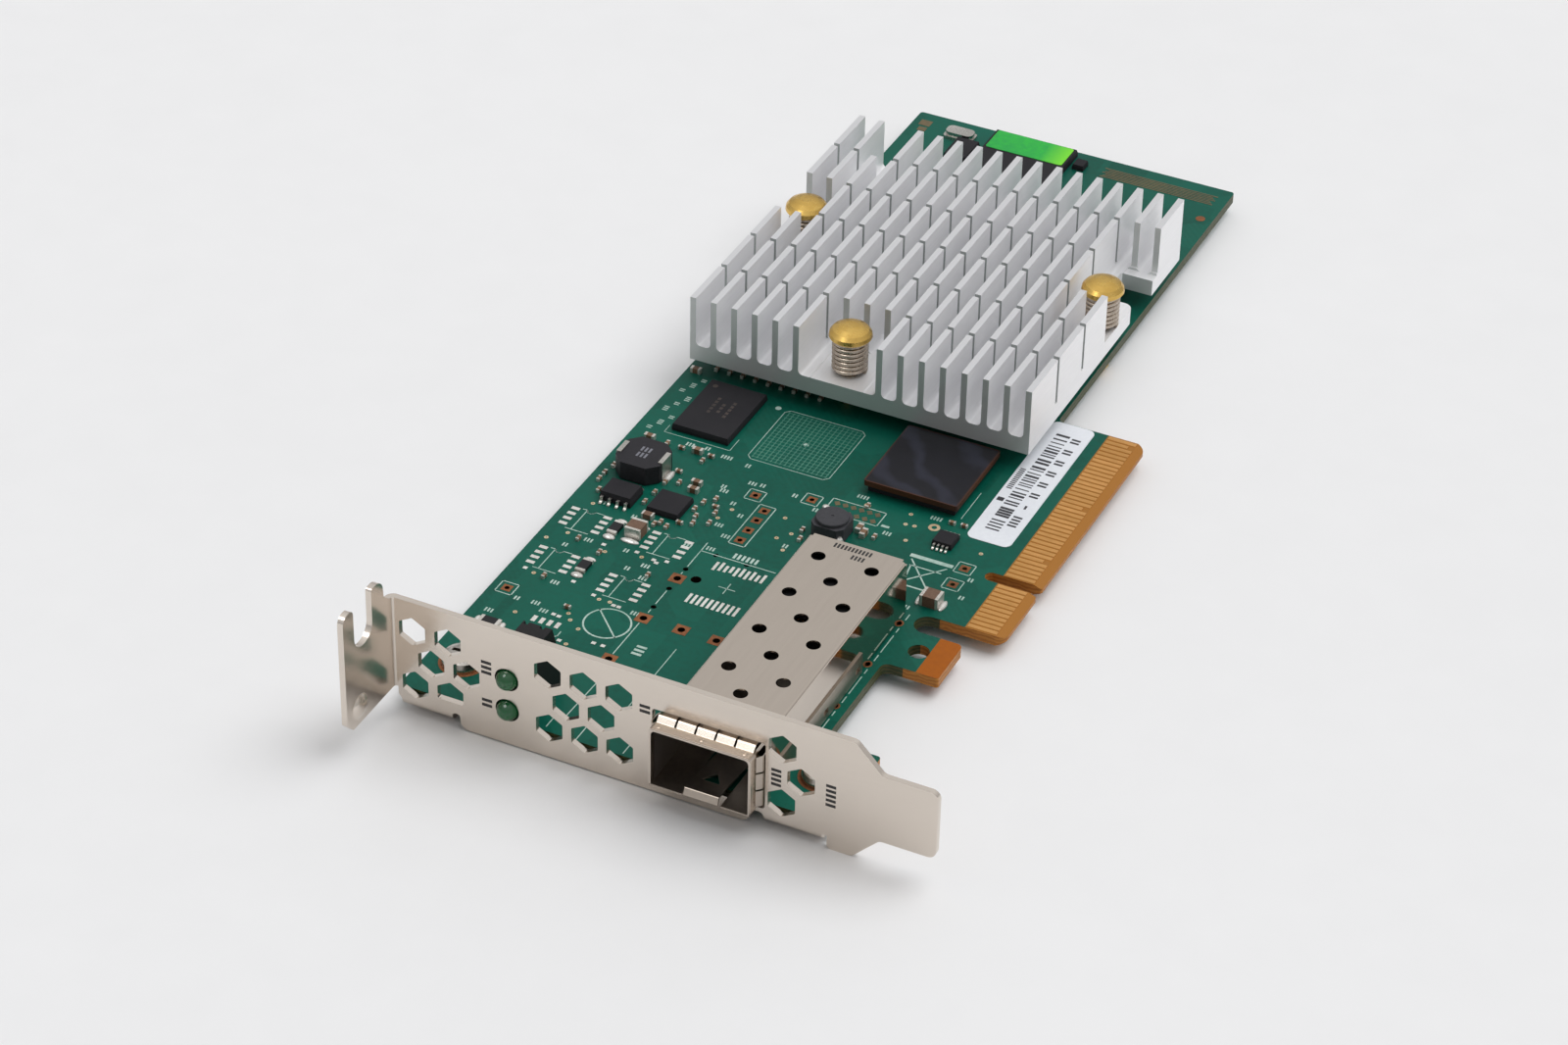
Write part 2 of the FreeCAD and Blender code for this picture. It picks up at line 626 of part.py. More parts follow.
def gull_leads(centre, body_y, span, pitch, count, width, body_h):
    """Gull-wing leads on the two long sides of a small package, running along Y."""
    thickness = 0.18
    x, y = centre
    leads = []
    for side in (-1, 1):
        root = y + side * body_y / 2
        foot = y + side * span / 2
        knee = root + side * 0.35
        mid = 0.1 + body_h * 0.45
        toe = foot - side * 0.75
        path = [(root, mid), (knee, mid, 0.1), (toe, 0.0, 0.25), (foot, 0.0)]
        for k in range(count):
            lead_x = x + (k - (count - 1) / 2) * pitch
            leads.append(plate_x(folded_sheet(path, side * thickness),
                                 lead_x - width / 2, lead_x + width / 2))
    return together(leads)


memory_centre = (-57.85, 18.0)
switch_chip_centre = (-24.2, 17.95)
driver_centre = (-61.1, -6.6)
driver_h = 1.45
flash_centre = (-16.05, 4.4)
flash_h = 0.85
far_chip_h = 1.2


def memory_chip():
    """The black memory package beside the heatsink."""
    return moulded_body(memory_centre, (9.0, 13.0, 1.0))


def switch_chip():
    """The square black package that carries a copper heat spreader."""
    return moulded_body(switch_chip_centre, (13.4, 14.4, 1.1))


def heat_spreader():
    """The copper plate bonded on the square package, its top face blackened."""
    x, y = switch_chip_centre
    return plate_z(rectangle((x - 7.2, x + 7.2), (y - 7.75, y + 7.75), 0.4), 1.2, 2.05)


def driver_chip():
    """The eight-lead power driver near the left edge."""
    return moulded_body(driver_centre, (4.9, 3.9, driver_h))


def driver_chip_leads():
    """Tinned leads of the power driver."""
    return gull_leads(driver_centre, 3.9, 6.0, 1.27, 4, 0.42, driver_h)


def regulator_chip():
    """The flat square regulator beside the driver."""
    return moulded_body((-53.9, -5.7), (5.0, 5.0, 0.95), 0)


def flash_chip():
    """The small eight-lead chip near the edge connector."""
    return moulded_body(flash_centre, (3.0, 3.0, flash_h))


def flash_chip_leads():
    """Tinned leads of the small chip."""
    return gull_leads(flash_centre, 3.0, 4.9, 0.65, 4, 0.3, flash_h)


def far_end_chips():
    """Black packages on the strip of board beyond the heatsink."""
    sizes = (((-46.8, 102.7), (14.0, 12.6, far_chip_h)), ((-56.4, 100.9), (3.9, 5.8, 1.4)),
             ((-38.2, 106.1), (1.9, 2.2, 0.9)))
    return together([moulded_body(centre, size, 0) for centre, size in sizes])


# Inductors ----------------------------------------------------------------------------------------

power_inductor_centre = (-61.3, 0.75)
power_inductor_top = 3.0
round_inductor_centre = (-31.1, -0.7)


def cut_corner_square(centre, half, cut, corner_r):
    """The corners of a square with its corners cut off."""
    x, y = centre
    return [(x + u * half, y + v * half, corner_r) for u, v in (
        (cut - 1, -1), (1 - cut, -1), (1, cut - 1), (1, 1 - cut),
        (1 - cut, 1), (cut - 1, 1), (-1, 1 - cut), (-1, cut - 1))]


def power_inductor():
    """The shielded power inductor: a square ferrite block with cut corners."""
    outline = cut_corner_square(power_inductor_centre, 3.5, 0.43, 0.25)
    return plate_z(outline, 0.15, power_inductor_top)


def power_inductor_terminals():
    """The two tinned clips that wrap the inductor's left and right sides."""
    x, y = power_inductor_centre
    clips = []
    for side in (-1, 1):
        wall = x + side * 3.5
        path = [(wall - side * 1.4, 0.15), (wall, 0.15), (wall, power_inductor_top),
                (wall - side * 0.55, power_inductor_top)]
        clips.append(plate_y(folded_sheet(path, -side * 0.15), y - 1.4, y + 1.4))
    return together(clips)


def round_inductor():
    """The drum inductor: the drum's round top stands in a square shield with cut corners."""
    shield = plate_z(cut_corner_square(round_inductor_centre, 2.5, 0.34, 0.3), 0.1, 2.35)
    x, y = round_inductor_centre
    drum = turned([(0, 2.2), (2.35, 2.2), (2.35, 2.8), (2.25, 2.9), (0.25, 2.9), (0.2, 2.8), (0, 2.8)],
                  (x, y))
    return fused([shield, drum])


def round_inductor_terminals():
    """The soldered wire ends of the drum inductor, at two opposite corners of its shield."""
    x, y = round_inductor_centre
    ends = []
    for side in (-1, 1):
        corner = V(x + side * 2.13, y - side * 2.13, 0)
        end = turned([(0, 0), (0.62, 0), (0.55, 0.5), (0.42, 1.0), (0.25, 1.25), (0, 1.3)], (0, 0))
        end.translate(corner)
        ends.append(end.cut(round_inductor()))
    return together(ends)


# Indicator lamps ----------------------------------------------------------------------------------

lamp_block_near = bracket_back + 0.25
lamp_block_far = (-46.5, -50.05)          # at the board, and at the top
lamp_block_x = (lamp_x - 2.3, lamp_x + 1.95)
lamp_block_top = 10.3


def lamp_housing():
    """The black right-angle block behind the bracket that holds the two lamps; its back slopes."""
    body = plate_x([(lamp_block_near, 0), (lamp_block_far[0], 0), (lamp_block_far[1], lamp_block_top),
                    (lamp_block_near, lamp_block_top, 0.3)], *lamp_block_x)
    notches = [block((lamp_x + dx, lamp_block_far[1]), (0.6, 1.1, 2), lamp_block_top - 1.2)
               for dx in (-1.75, 0.6)]
    return body.cut(together(notches)).Solids[0]


def lamp_lenses():
    """Green domed lamps, which stand in the bracket's round holes."""
    radius, dome = 1.5, 1.45
    y_root = lamp_block_near
    lenses = []
    for z in lamp_z:
        barrel_end = bracket_face + 0.15
        barrel = Part.makeCylinder(radius, y_root - barrel_end, V(lamp_x, barrel_end, z), V(0, 1, 0))
        cap = Part.makeSphere(radius, V(lamp_x, barrel_end, z))
        front = box((lamp_x - 2, lamp_x + 2), (barrel_end - dome, barrel_end), (z - 2, z + 2))
        lenses.append(fused([barrel, cap.common(front)]))
    return together(lenses)


def lamp_leads():
    """Wire leads from the underside of the lamp housing down through the board."""
    wire_r = 0.25
    return together([rod((x, lamp_lead_y), wire_r, (-2.4, 0)) for x in lamp_lead_x])


# Small parts --------------------------------------------------------------------------------------

# (x, y, length, width, height, direction of the length)
bulk_capacitor_list = ((-55.15, -13.5, 2.75, 2.35, 1.7, "y"), (-12.05, -9.35, 2.75, 2.25, 1.7, "x"),
                       (-55.5, -9.3, 1.7, 0.95, 0.8, "x"))
resistor_list = ((-58.2, -13.85, 2.9, 1.45, 0.55, "y"), (-57.95, -23.7, 2.9, 1.45, 0.55, "y"),
                 (-63.35, -40.75, 3.0, 1.5, 0.55, "x"))
capacitor_0603 = (1.6, 0.8, 0.8)
capacitor_0402 = (1.0, 0.5, 0.5)
places_0603_x = ((-64.1, 8.05), (-56.4, 8.05), (-52.95, 0.9), (-52.65, -0.8), (-65.9, 26.4))
places_0603_y = ((-27.9, 1.5), (-26.9, 0.7))
places_0402_x = ((-58.9, 7.85), (-54.2, 7.9), (-56.6, 2.5), (-50.9, -8.6), (-48.1, -2.9), (-55.6, -33.0),
                 (-15.2, 8.9), (-17.0, 8.8))
places_0402_y = (
    (-61.2, 7.9), (-54.8, 6.3), (-55.3, 0.0), (-57.3, -3.7), (-57.5, -6.35), (-50.1, -2.7),
    (-48.9, -1.2), (-50.5, -4.7), (-47.5, -4.3), (-47.2, -6.8), (-49.6, -6.2), (-49.2, -7.9),
    (-53.9, -10.5), (-52.1, -10.3), (-65.8, -2.6), (-65.8, -4.3), (-64.6, -6.7), (-25.3, 0.8),
    (-29.2, 7.1), (-34.9, -2.3), (-34.3, -4.4), (-57.6, -19.9), (-61.7, -18.3), (-61.8, -28.2),
    (-49.2, -21.6), (-53.3, -9.7), (-65.5, -0.4), (-57.1, -0.8),
)
small_capacitor_list = [place + capacitor_0603 + ("x",) for place in places_0603_x]
small_capacitor_list += [place + capacitor_0603 + ("y",) for place in places_0603_y]
small_capacitor_list += [place + capacitor_0402 + ("x",) for place in places_0402_x]
small_capacitor_list += [place + capacitor_0402 + ("y",) for place in places_0402_y]
cap_row_y = 28.3
small_capacitor_list += [(-63.4 + 2.1 * k, cap_row_y) + capacitor_0402 + ("y",) for k in range(9)]


def chip_pair(listing, end_share, end_proud=0.0):
    """Bodies and metal end caps of chip parts, from a list of places and sizes."""
    bodies, ends = [], []
    for x, y, length, width, height, direction in listing:
        end = length * end_share
        body_size = (length - 2 * end, width, height)
        end_size = (end, width + 2 * end_proud, height + end_proud)
        offset = (length - end) / 2
        if direction == "y":
            body_size = (body_size[1], body_size[0], body_size[2])
            end_size = (end_size[1], end_size[0], end_size[2])
        bodies.append(block((x, y), body_size, 0))
        for side in (-1, 1):
            place = (x + side * offset, y) if direction == "x" else (x, y + side * offset)
            ends.append(block(place, end_size, 0))
    return together(bodies), together(ends)


def crystal_can():
    """The oval metal crystal can at the far end of the board."""
    x, y = -58.7, 105.7
    base = plate_z(rectangle((x - 2.5, x + 2.5), (y - 1.35, y + 1.35), 0.5), 0, 0.5)
    can = plate_z(rectangle((x - 2.3, x + 2.3), (y - 1.15, y + 1.15), 0.9), 0.5, 1.2)
    return fused([base, can])


# Labels -------------------------------------------------------------------------------------------


def board_label():
    """The white paper label stuck along the edge connector."""
    return plate_z(rectangle((-14.25, -7.65), (7.05, 39.0), 1.1), 0, 0.08)


def chip_sticker():
    """The bright green sticker on the long black package at the far end."""
    return plate_z(rectangle((-53.3, -40.3), (103.2, 108.7), 0.4), far_chip_h, far_chip_h + 0.08)


# Build --------------------------------------------------------------------------------------------

bulk_bodies, bulk_ends = chip_pair(bulk_capacitor_list, 0.16)
resistor_bodies, resistor_ends = chip_pair(resistor_list, 0.16)
small_bodies, small_ends = chip_pair(small_capacitor_list, 0.24)

for piece in (circuit_board, edge_contacts, bracket, bracket_screws, cage_shell, cage_base,
              cage_spring_collar, port_connector, port_contacts, heatsink, heatsink_pins,
              heatsink_springs, controller_substrate, controller_lid, thermal_pad, memory_chip,
              switch_chip, heat_spreader, driver_chip, driver_chip_leads, regulator_chip, flash_chip,
              flash_chip_leads, far_end_chips, power_inductor, power_inductor_terminals, round_inductor,
              round_inductor_terminals, lamp_housing, lamp_lenses, lamp_leads, crystal_can,
              board_label, chip_sticker):
    save(piece.__name__, piece())
save("bulk_capacitors", bulk_bodies)
save("bulk_capacitor_ends", bulk_ends)
save("chip_resistors", resistor_bodies)
save("chip_resistor_ends", resistor_ends)
save("chip_capacitors", small_bodies)
save("chip_capacitor_ends", small_ends)
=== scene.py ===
import math
import random
from types import SimpleNamespace

import bmesh
import bpy
from mathutils import Matrix, Vector


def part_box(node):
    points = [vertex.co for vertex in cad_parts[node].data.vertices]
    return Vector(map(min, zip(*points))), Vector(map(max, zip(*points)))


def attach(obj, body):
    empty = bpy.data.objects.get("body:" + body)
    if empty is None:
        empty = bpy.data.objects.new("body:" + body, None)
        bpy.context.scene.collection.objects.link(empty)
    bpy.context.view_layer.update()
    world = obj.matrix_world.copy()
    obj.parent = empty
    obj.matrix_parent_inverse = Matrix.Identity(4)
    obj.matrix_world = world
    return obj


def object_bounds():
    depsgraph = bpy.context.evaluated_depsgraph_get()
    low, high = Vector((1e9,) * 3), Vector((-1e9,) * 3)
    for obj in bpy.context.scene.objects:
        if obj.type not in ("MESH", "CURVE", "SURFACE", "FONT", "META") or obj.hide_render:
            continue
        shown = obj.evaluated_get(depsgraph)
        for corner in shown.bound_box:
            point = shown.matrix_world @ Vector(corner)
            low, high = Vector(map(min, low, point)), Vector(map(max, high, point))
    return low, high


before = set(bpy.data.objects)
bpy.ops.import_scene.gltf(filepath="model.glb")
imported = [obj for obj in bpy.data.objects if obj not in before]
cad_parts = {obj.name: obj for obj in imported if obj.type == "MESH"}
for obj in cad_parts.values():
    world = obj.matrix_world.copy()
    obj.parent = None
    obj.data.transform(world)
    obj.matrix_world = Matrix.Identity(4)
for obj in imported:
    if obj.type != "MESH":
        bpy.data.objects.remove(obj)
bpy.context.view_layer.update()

# Studio -------------------------------------------------------------------------------------------
# The card lies on a seamless sweep of pale paper, under one wide soft light above and behind it,
# with pale walls all round. The camera stands above the bracket end.

MM = 0.001


def linear(code):
    """The linear colour of an sRGB hex value."""
    channels = [int(code[k:k + 2], 16) / 255 for k in (0, 2, 4)]
    return [c / 12.92 if c <= 0.04045 else ((c + 0.055) / 1.055) ** 2.4 for c in channels] + [1.0]


def node(tree, kind, inputs=(), **settings):
    """Adds one shader node; inputs pairs each socket with a value or with the output that feeds it."""
    made = tree.nodes.new("ShaderNode" + kind)
    for name, value in settings.items():
        setattr(made, name, value)
    for key, value in dict(inputs).items():
        if isinstance(value, bpy.types.NodeSocket):
            tree.links.new(value, made.inputs[key])
        else:
            made.inputs[key].default_value = value
    return made


def finish(name, pale, deep, grain, roughness, relief=0.0, metallic=0.0, stretch=(1, 1, 1), ior=None,
           sheen_cut=1.0):
    """Starts a material whose colour and roughness wander between two ends.

    grain is the size of the surface's marks and relief their height, in mm; stretch draws the marks
    out along an axis; sheen_cut lowers the reflection of a surface too rough to mirror evenly. The
    result keeps what a section needs to add layers of its own.
    """
    material = bpy.data.materials.new(name)
    material.use_nodes = True
    tree = material.node_tree
    shader = tree.nodes["Principled BSDF"]
    shader.inputs["Metallic"].default_value = metallic
    shader.inputs["Specular IOR Level"].default_value *= sheen_cut
    if ior:
        shader.inputs["IOR"].default_value = ior
    coords = node(tree, "TexCoord")
    place = node(tree, "VectorMath", {0: coords.outputs["Object"], "Scale": 1 / MM}, operation="SCALE")
    place = place.outputs[0]
    drawn = node(tree, "VectorMath", {0: place, 1: [1 / (grain * s) for s in stretch]},
                 operation="MULTIPLY").outputs[0]
    grains = node(tree, "TexNoise", {"Vector": drawn, "Scale": 1.0, "Detail": 4.0}).outputs[0]
    drifts = node(tree, "TexNoise", {"Vector": drawn, "Scale": 0.06, "Detail": 2.0}).outputs[0]
    both = node(tree, "Math", {0: grains, 1: drifts}, operation="ADD").outputs[0]
    span = {"Value": both, "From Min": 0.75, "From Max": 1.25}
    tone = node(tree, "MapRange", span).outputs[0]
    rough = node(tree, "MapRange", {**span, "To Min": roughness[0], "To Max": roughness[1]}).outputs[0]
    colour = node(tree, "Mix", {0: tone, 6: linear(deep), 7: linear(pale)}, data_type="RGBA").outputs[2]
    bump = node(tree, "Bump", {"Height": grains, "Distance": relief * MM})
    tree.links.new(colour, shader.inputs["Base Color"])
    tree.links.new(rough, shader.inputs["Roughness"])
    tree.links.new(bump.outputs[0], shader.inputs["Normal"])
    return SimpleNamespace(material=material, tree=tree, shader=shader, place=place, colour=colour,
                           grains=grains, drifts=drifts, bump=bump, facing=coords.outputs["Normal"])


# Sweep paper, calendered: matt, near white, with a faint cloudiness from its fibres.
sweep_paper = finish("sweep_paper", "EDEDEE", "EBEBEC", grain=9.0, roughness=(0.85, 0.95), relief=0.02)
floor_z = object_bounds()[0][2]
reach = 4.0
floor_mesh = bpy.data.meshes.new("floor")
floor_mesh.from_pydata([(-reach, -reach, floor_z), (reach, -reach, floor_z), (reach, reach, floor_z),
                        (-reach, reach, floor_z)], [], [(0, 1, 2, 3)])
floor_mesh.materials.append(sweep_paper.material)
floor = bpy.data.objects.new("floor", floor_mesh)
bpy.context.scene.collection.objects.link(floor)

# The walls light the card mostly from behind, so that faces turned to the front fall into shade. What
# the camera and the polished metal see is the pale room itself, darker at the horizon than overhead.
world = bpy.data.worlds.new("studio_walls")
world.use_nodes = True
walls = world.node_tree
walls.nodes.clear()
front_wall, back_wall = 0.2, 0.87
heading = node(walls, "TexCoord").outputs["Generated"]
_, rearward, height = node(walls, "SeparateXYZ", {0: heading}).outputs
strength = node(walls, "MapRange", {"Value": rearward, "From Min": -1.0, "To Min": front_wall,
                                    "To Max": back_wall}).outputs[0]
lighting = node(walls, "Background", {"Color": linear("FFFFFF"), "Strength": strength}).outputs[0]
upward = node(walls, "MapRange", {"Value": height, "From Min": 0.15, "From Max": 0.95}).outputs[0]
room = node(walls, "Mix", {0: upward, 6: linear("B4B4B5"), 7: linear("F0F0F0")}, data_type="RGBA")
seen = node(walls, "Background", {"Color": room.outputs[2], "Strength": 1.0}).outputs[0]
path = node(walls, "LightPath")
looks = node(walls, "Math", {0: path.outputs["Is Camera Ray"], 1: path.outputs["Is Glossy Ray"]},
             operation="MAXIMUM").outputs[0]
looks = node(walls, "Math", {0: looks, 1: path.outputs["Is Transmission Ray"]},
             operation="MAXIMUM").outputs[0]
either = node(walls, "MixShader", {0: looks, 1: lighting, 2: seen}).outputs[0]
node(walls, "OutputWorld", {0: either})
bpy.context.scene.world = world

soft_light = bpy.data.lights.new("soft_light", "SUN")
soft_light.energy = 1.64
soft_light.angle = math.radians(50)
soft_lamp = bpy.data.objects.new("soft_light", soft_light)
light_from = Vector((0.38, 0.36, 1.0))
soft_lamp.rotation_euler = light_from.to_track_quat("Z", "Y").to_euler()
soft_lamp.visible_glossy = False
bpy.context.scene.collection.objects.link(soft_lamp)

# A small square lamp over the front left, which only reflections show: it puts the bright glints on
# folded metal and on the lamps, while the room's own tone is what flat metal mirrors.
glint_light = bpy.data.lights.new("glint_light", "AREA")
glint_light.energy = 3.0
glint_light.size = 0.46
glint_lamp = bpy.data.objects.new("glint_light", glint_light)
glint_lamp.location = Vector((-0.36, -0.46, 0.90))
glint_lamp.rotation_euler = glint_lamp.location.to_track_quat("Z", "Y").to_euler()
glint_lamp.visible_diffuse = False
bpy.context.scene.collection.objects.link(glint_lamp)

azimuth, elevation, roll = (math.radians(angle) for angle in (24.949, 35.792, 1.377))
backward = Vector((math.sin(azimuth) * math.cos(elevation), -math.cos(azimuth) * math.cos(elevation),
                   math.sin(elevation)))
level = Vector((math.cos(azimuth), math.sin(azimuth), 0))
upright = backward.cross(level)
across = level * math.cos(roll) + upright * math.sin(roll)
up = upright * math.cos(roll) - level * math.sin(roll)
looked_at = Vector((-38.09, -1.605, 0)) * MM
stand_off = 612.43
lens = bpy.data.cameras.new("camera")
lens.lens = 100.66
camera = bpy.data.objects.new("camera", lens)
camera.matrix_world = Matrix.Translation(looked_at + backward * stand_off * MM) @ Matrix(
    (across, up, backward)).transposed().to_4x4()
bpy.context.scene.collection.objects.link(camera)
bpy.context.scene.camera = camera
bpy.context.scene.view_settings.view_transform = "Standard"

# Circuit board ------------------------------------------------------------------------------------
# A fibreglass board, routed to shape, under green solder mask: a screened liquid ink, cured to a
# semi-gloss. The mask stops short of the edge connector's contacts and of the holding tab's end.


def dress(made, *names):
    """Gives CAD nodes their finish."""
    for name in names:
        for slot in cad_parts[name].material_slots:
            slot.material = made.material


# Liquid solder mask over copper: semi-gloss deep green, a touch lighter where it covers a copper plane,
# with fine ridges where it runs over tracks. Real tracks are 0.1 mm; these are drawn 0.3 mm to show.
mask = finish("solder_mask_on_fibreglass", "055849", "044D3F", grain=0.8, roughness=(0.34, 0.46),
              relief=0.002, ior=1.5, sheen_cut=0.35)
tree = mask.tree
x, y, _ = node(tree, "SeparateXYZ", {0: mask.place}).outputs
plane_size, plane_limit, plane_tint = 11.0, 0.55, 0.35
track_pitch, track_limit, track_tint = 0.6, 0.7, 0.07
patches = node(tree, "TexVoronoi", {"Vector": mask.place, "Scale": 1 / plane_size}, distance="CHEBYCHEV")
patch = node(tree, "SeparateColor", {0: patches.outputs["Color"]}).outputs
planes = node(tree, "Math", {0: patch[0], 1: plane_limit}, operation="GREATER_THAN").outputs[0]
planes = node(tree, "Math", {0: planes, 1: plane_tint}, operation="MULTIPLY").outputs[0]
under = node(tree, "Mix", {0: planes, 6: mask.colour, 7: linear("0C6251")}, data_type="RGBA").outputs[2]
tracked = node(tree, "Math", {0: patch[1], 1: track_limit}, operation="GREATER_THAN").outputs[0]
ridges = node(tree, "TexWave", {"Vector": mask.place, "Scale": 1 / (3.2 * track_pitch), "Distortion": 0.0},
              bands_direction="DIAGONAL", wave_profile="SIN").outputs[1]
ridges = node(tree, "Math", {0: ridges, 1: tracked}, operation="MULTIPLY").outputs[0]
faint = node(tree, "Math", {0: ridges, 1: track_tint}, operation="MULTIPLY").outputs[0]
under = node(tree, "Mix", {0: faint, 6: under, 7: linear("1E7560")}, data_type="RGBA").outputs[2]
track_bump = node(tree, "Bump", {"Height": ridges, "Distance": 0.004 * MM, "Normal": mask.bump.outputs[0]})
tree.links.new(track_bump.outputs[0], mask.shader.inputs["Normal"])

# Bare laminate: woven glass in epoxy, tan to orange, streaked along its layers where it was cut. It
# shows on the connector's tongue, on the holding tab and on cut edges. A wall inside the outline
# belongs to a plated hole, where little light comes back out, so it is painted near black as shade.
tongue_x, tongue_y, tongue_root_x = -5.8, -12.3, -9.5
tab_x, tab_near, tab_far = -7.65, -26.0, -14.0
holes_left, holes_right, holes_near, holes_far = -67.2, -13.72, -57.6, 109.8
# A region is where all of its limits hold.
regions = []
for limits in (((x, "GREATER_THAN", tongue_x), (y, "GREATER_THAN", tongue_y)),
               ((x, "GREATER_THAN", tab_x), (y, "GREATER_THAN", tab_near), (y, "LESS_THAN", tab_far)),
               ((x, "GREATER_THAN", tongue_root_x),),
               ((x, "GREATER_THAN", holes_left), (y, "GREATER_THAN", holes_near),
                (x, "LESS_THAN", holes_right), (y, "LESS_THAN", holes_far))):
    region = 1.0
    for value, side, limit in limits:
        passed = node(tree, "Math", {0: value, 1: limit}, operation=side).outputs[0]
        region = node(tree, "Math", {0: region, 1: passed}, operation="MULTIPLY").outputs[0]
    regions.append(region)
on_tongue, on_tab, by_tongue, in_board = regions
weave = node(tree, "TexWave", {"Vector": mask.place, "Scale": 0.5, "Distortion": 6.0, "Detail": 3.0},
             bands_direction="Z").outputs[1]
tongue_edge = node(tree, "Mix", {0: weave, 6: linear("9A6026"), 7: linear("B87C38")},
                   data_type="RGBA").outputs[2]
body_edge = node(tree, "Mix", {0: weave, 6: linear("2F3D26"), 7: linear("514F30")},
                 data_type="RGBA").outputs[2]
bare = node(tree, "Mix", {0: on_tongue, 6: under, 7: linear("A26C2C")}, data_type="RGBA").outputs[2]
tab_orange = node(tree, "Mix", {0: mask.grains, 6: linear("974E05"), 7: linear("AA5D08")},
                  data_type="RGBA").outputs[2]
bare = node(tree, "Mix", {0: on_tab, 6: bare, 7: tab_orange}, data_type="RGBA").outputs[2]
edge = node(tree, "Mix", {0: by_tongue, 6: body_edge, 7: tongue_edge}, data_type="RGBA").outputs[2]
# Painted shade: walls inside the board's outline are near black.
edge = node(tree, "Mix", {0: in_board, 6: edge, 7: linear("1E1208")}, data_type="RGBA").outputs[2]
steep = 0.6
upright_part = node(tree, "SeparateXYZ", {0: mask.facing}).outputs[2]
upright_part = node(tree, "Math", {0: upright_part}, operation="ABSOLUTE").outputs[0]
cut_edge = node(tree, "Math", {0: upright_part, 1: steep}, operation="LESS_THAN").outputs[0]
whole = node(tree, "Mix", {0: cut_edge, 6: bare, 7: edge}, data_type="RGBA").outputs[2]
tree.links.new(whole, mask.shader.inputs["Base Color"])
dress(mask, "circuit_board")

# Bare copper pads ---------------------------------------------------------------------------------
# Square copper pads round the cage footprints' holes, wide rings under the two bracket screws and
# small pads at the test holes. They were etched with the tracks and left free of mask.


def rectangle(x, y, wide, high, turn=0.0):
    """The outline of a rectangle about a centre, turned by an angle in degrees."""
    c, s = math.cos(math.radians(turn)), math.sin(math.radians(turn))
    corners = [(-wide / 2, -high / 2), (wide / 2, -high / 2), (wide / 2, high / 2), (-wide / 2, high / 2)]
    return [(x + u * c - v * s, y + u * s + v * c) for u, v in corners]


def disc(x, y, radius, sides=20):
    """The outline of a circle."""
    steps = [2 * math.pi * k / sides for k in range(sides)]
    return [(x + radius * math.cos(a), y + radius * math.sin(a)) for a in steps]


def ring(x, y, outer, inner, sides=32):
    """Two outlines with a circular hole between them."""
    return disc(x, y, outer, sides), disc(x, y, inner, sides)


def drilled_square(x, y, half, hole):
    """The outlines of a square pad and of its round hole."""
    outer = []
    inner = disc(x, y, hole, 16)
    for u, v in inner:
        reach = max(abs(u - x), abs(v - y))
        outer.append((x + (u - x) * half / reach, y + (v - y) * half / reach))
    return outer, inner


def flat_on_board(u, v, h):
    """Puts a pattern's point on a face that looks up."""
    return u, v, h


def link_piece(name, mesh, made):
    """Turns a bmesh into a piece that rides with the card."""
    bmesh.ops.recalc_face_normals(mesh, faces=mesh.faces)
    data = bpy.data.meshes.new(name)
    mesh.to_mesh(data)
    mesh.free()
    data.materials.append(made.material)
    piece = bpy.data.objects.new(name, data)
    bpy.context.scene.collection.objects.link(piece)
    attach(piece, "root")
    return piece


def plates(name, outlines, low, high, made, place=flat_on_board):
    """One piece of thin closed plates; an outline is a list of points, or an (outer, inner) pair."""
    mesh = bmesh.new()
    for outline in outlines:
        outer, inner = outline if isinstance(outline, tuple) else (outline, None)
        loops = [[mesh.verts.new([c * MM for c in place(u, v, h)]) for u, v in line]
                 for line in (outer, inner) if line for h in (low, high)]
        for k, corner in enumerate(loops[0]):
            n = (k + 1) % len(outer)
            mesh.faces.new((corner, loops[0][n], loops[1][n], loops[1][k]))
            if inner:
                mesh.faces.new((loops[2][n], loops[2][k], loops[3][k], loops[3][n]))
                mesh.faces.new((loops[1][k], loops[1][n], loops[3][n], loops[3][k]))
                mesh.faces.new((loops[0][n], loops[0][k], loops[2][k], loops[2][n]))
        if not inner:
            mesh.faces.new(loops[1])
            mesh.faces.new(loops[0][::-1])
    return link_piece(name, mesh, made)


# Copper with an organic protective coat: a dull orange-brown metal, darker where it has oxidised.
bare_copper = finish("coated_copper", "9E6440", "754A30", grain=0.5, roughness=(0.45, 0.6), relief=0.006,
                     metallic=0.35, sheen_cut=0.5)
foil = 0.035
port_x, spare_port_x = -21.25, -38.35
side_pin, floor_pins, floor_pin_y = 7.05, (-1.3, 4.0), -30.3
left_pin_y = (-20.15, -30.3, -40.45, -50.6)
right_pin_y = (-15.5, -25.65, -35.8, -45.95)
square_pads = [(port_x - side_pin, y) for y in left_pin_y]
square_pads += [(spare_port_x - side_pin, y) for y in left_pin_y[:3]]
square_pads += [(middle + dx, floor_pin_y) for middle in (port_x, spare_port_x) for dx in floor_pins]
test_holes = [(-65.1, -32.7), (-44.5, 2.4), (-36.95, 5.1), (-11.2, 0.0), (-11.2, -4.1)]
test_column = [(-41.7, y) for y in (-0.45, -2.95, -5.6, -8.2)]
screw_places = [(-62.4, -50.0), (-9.2, -50.0)]
pin_hole, test_hole, screw_hole = 0.54, 0.37, 1.8
lone_pad = (-15.65, 100.5)
copper = [drilled_square(x, y, 1.02, pin_hole) for x, y in square_pads]
copper += [drilled_square(x, y, 0.7, test_hole) for x, y in test_holes + test_column]
copper += [ring(port_x + side_pin, y, 0.78, pin_hole) for y in right_pin_y]
copper += [ring(x, y, 3.27, screw_hole, 48) for x, y in screw_places]
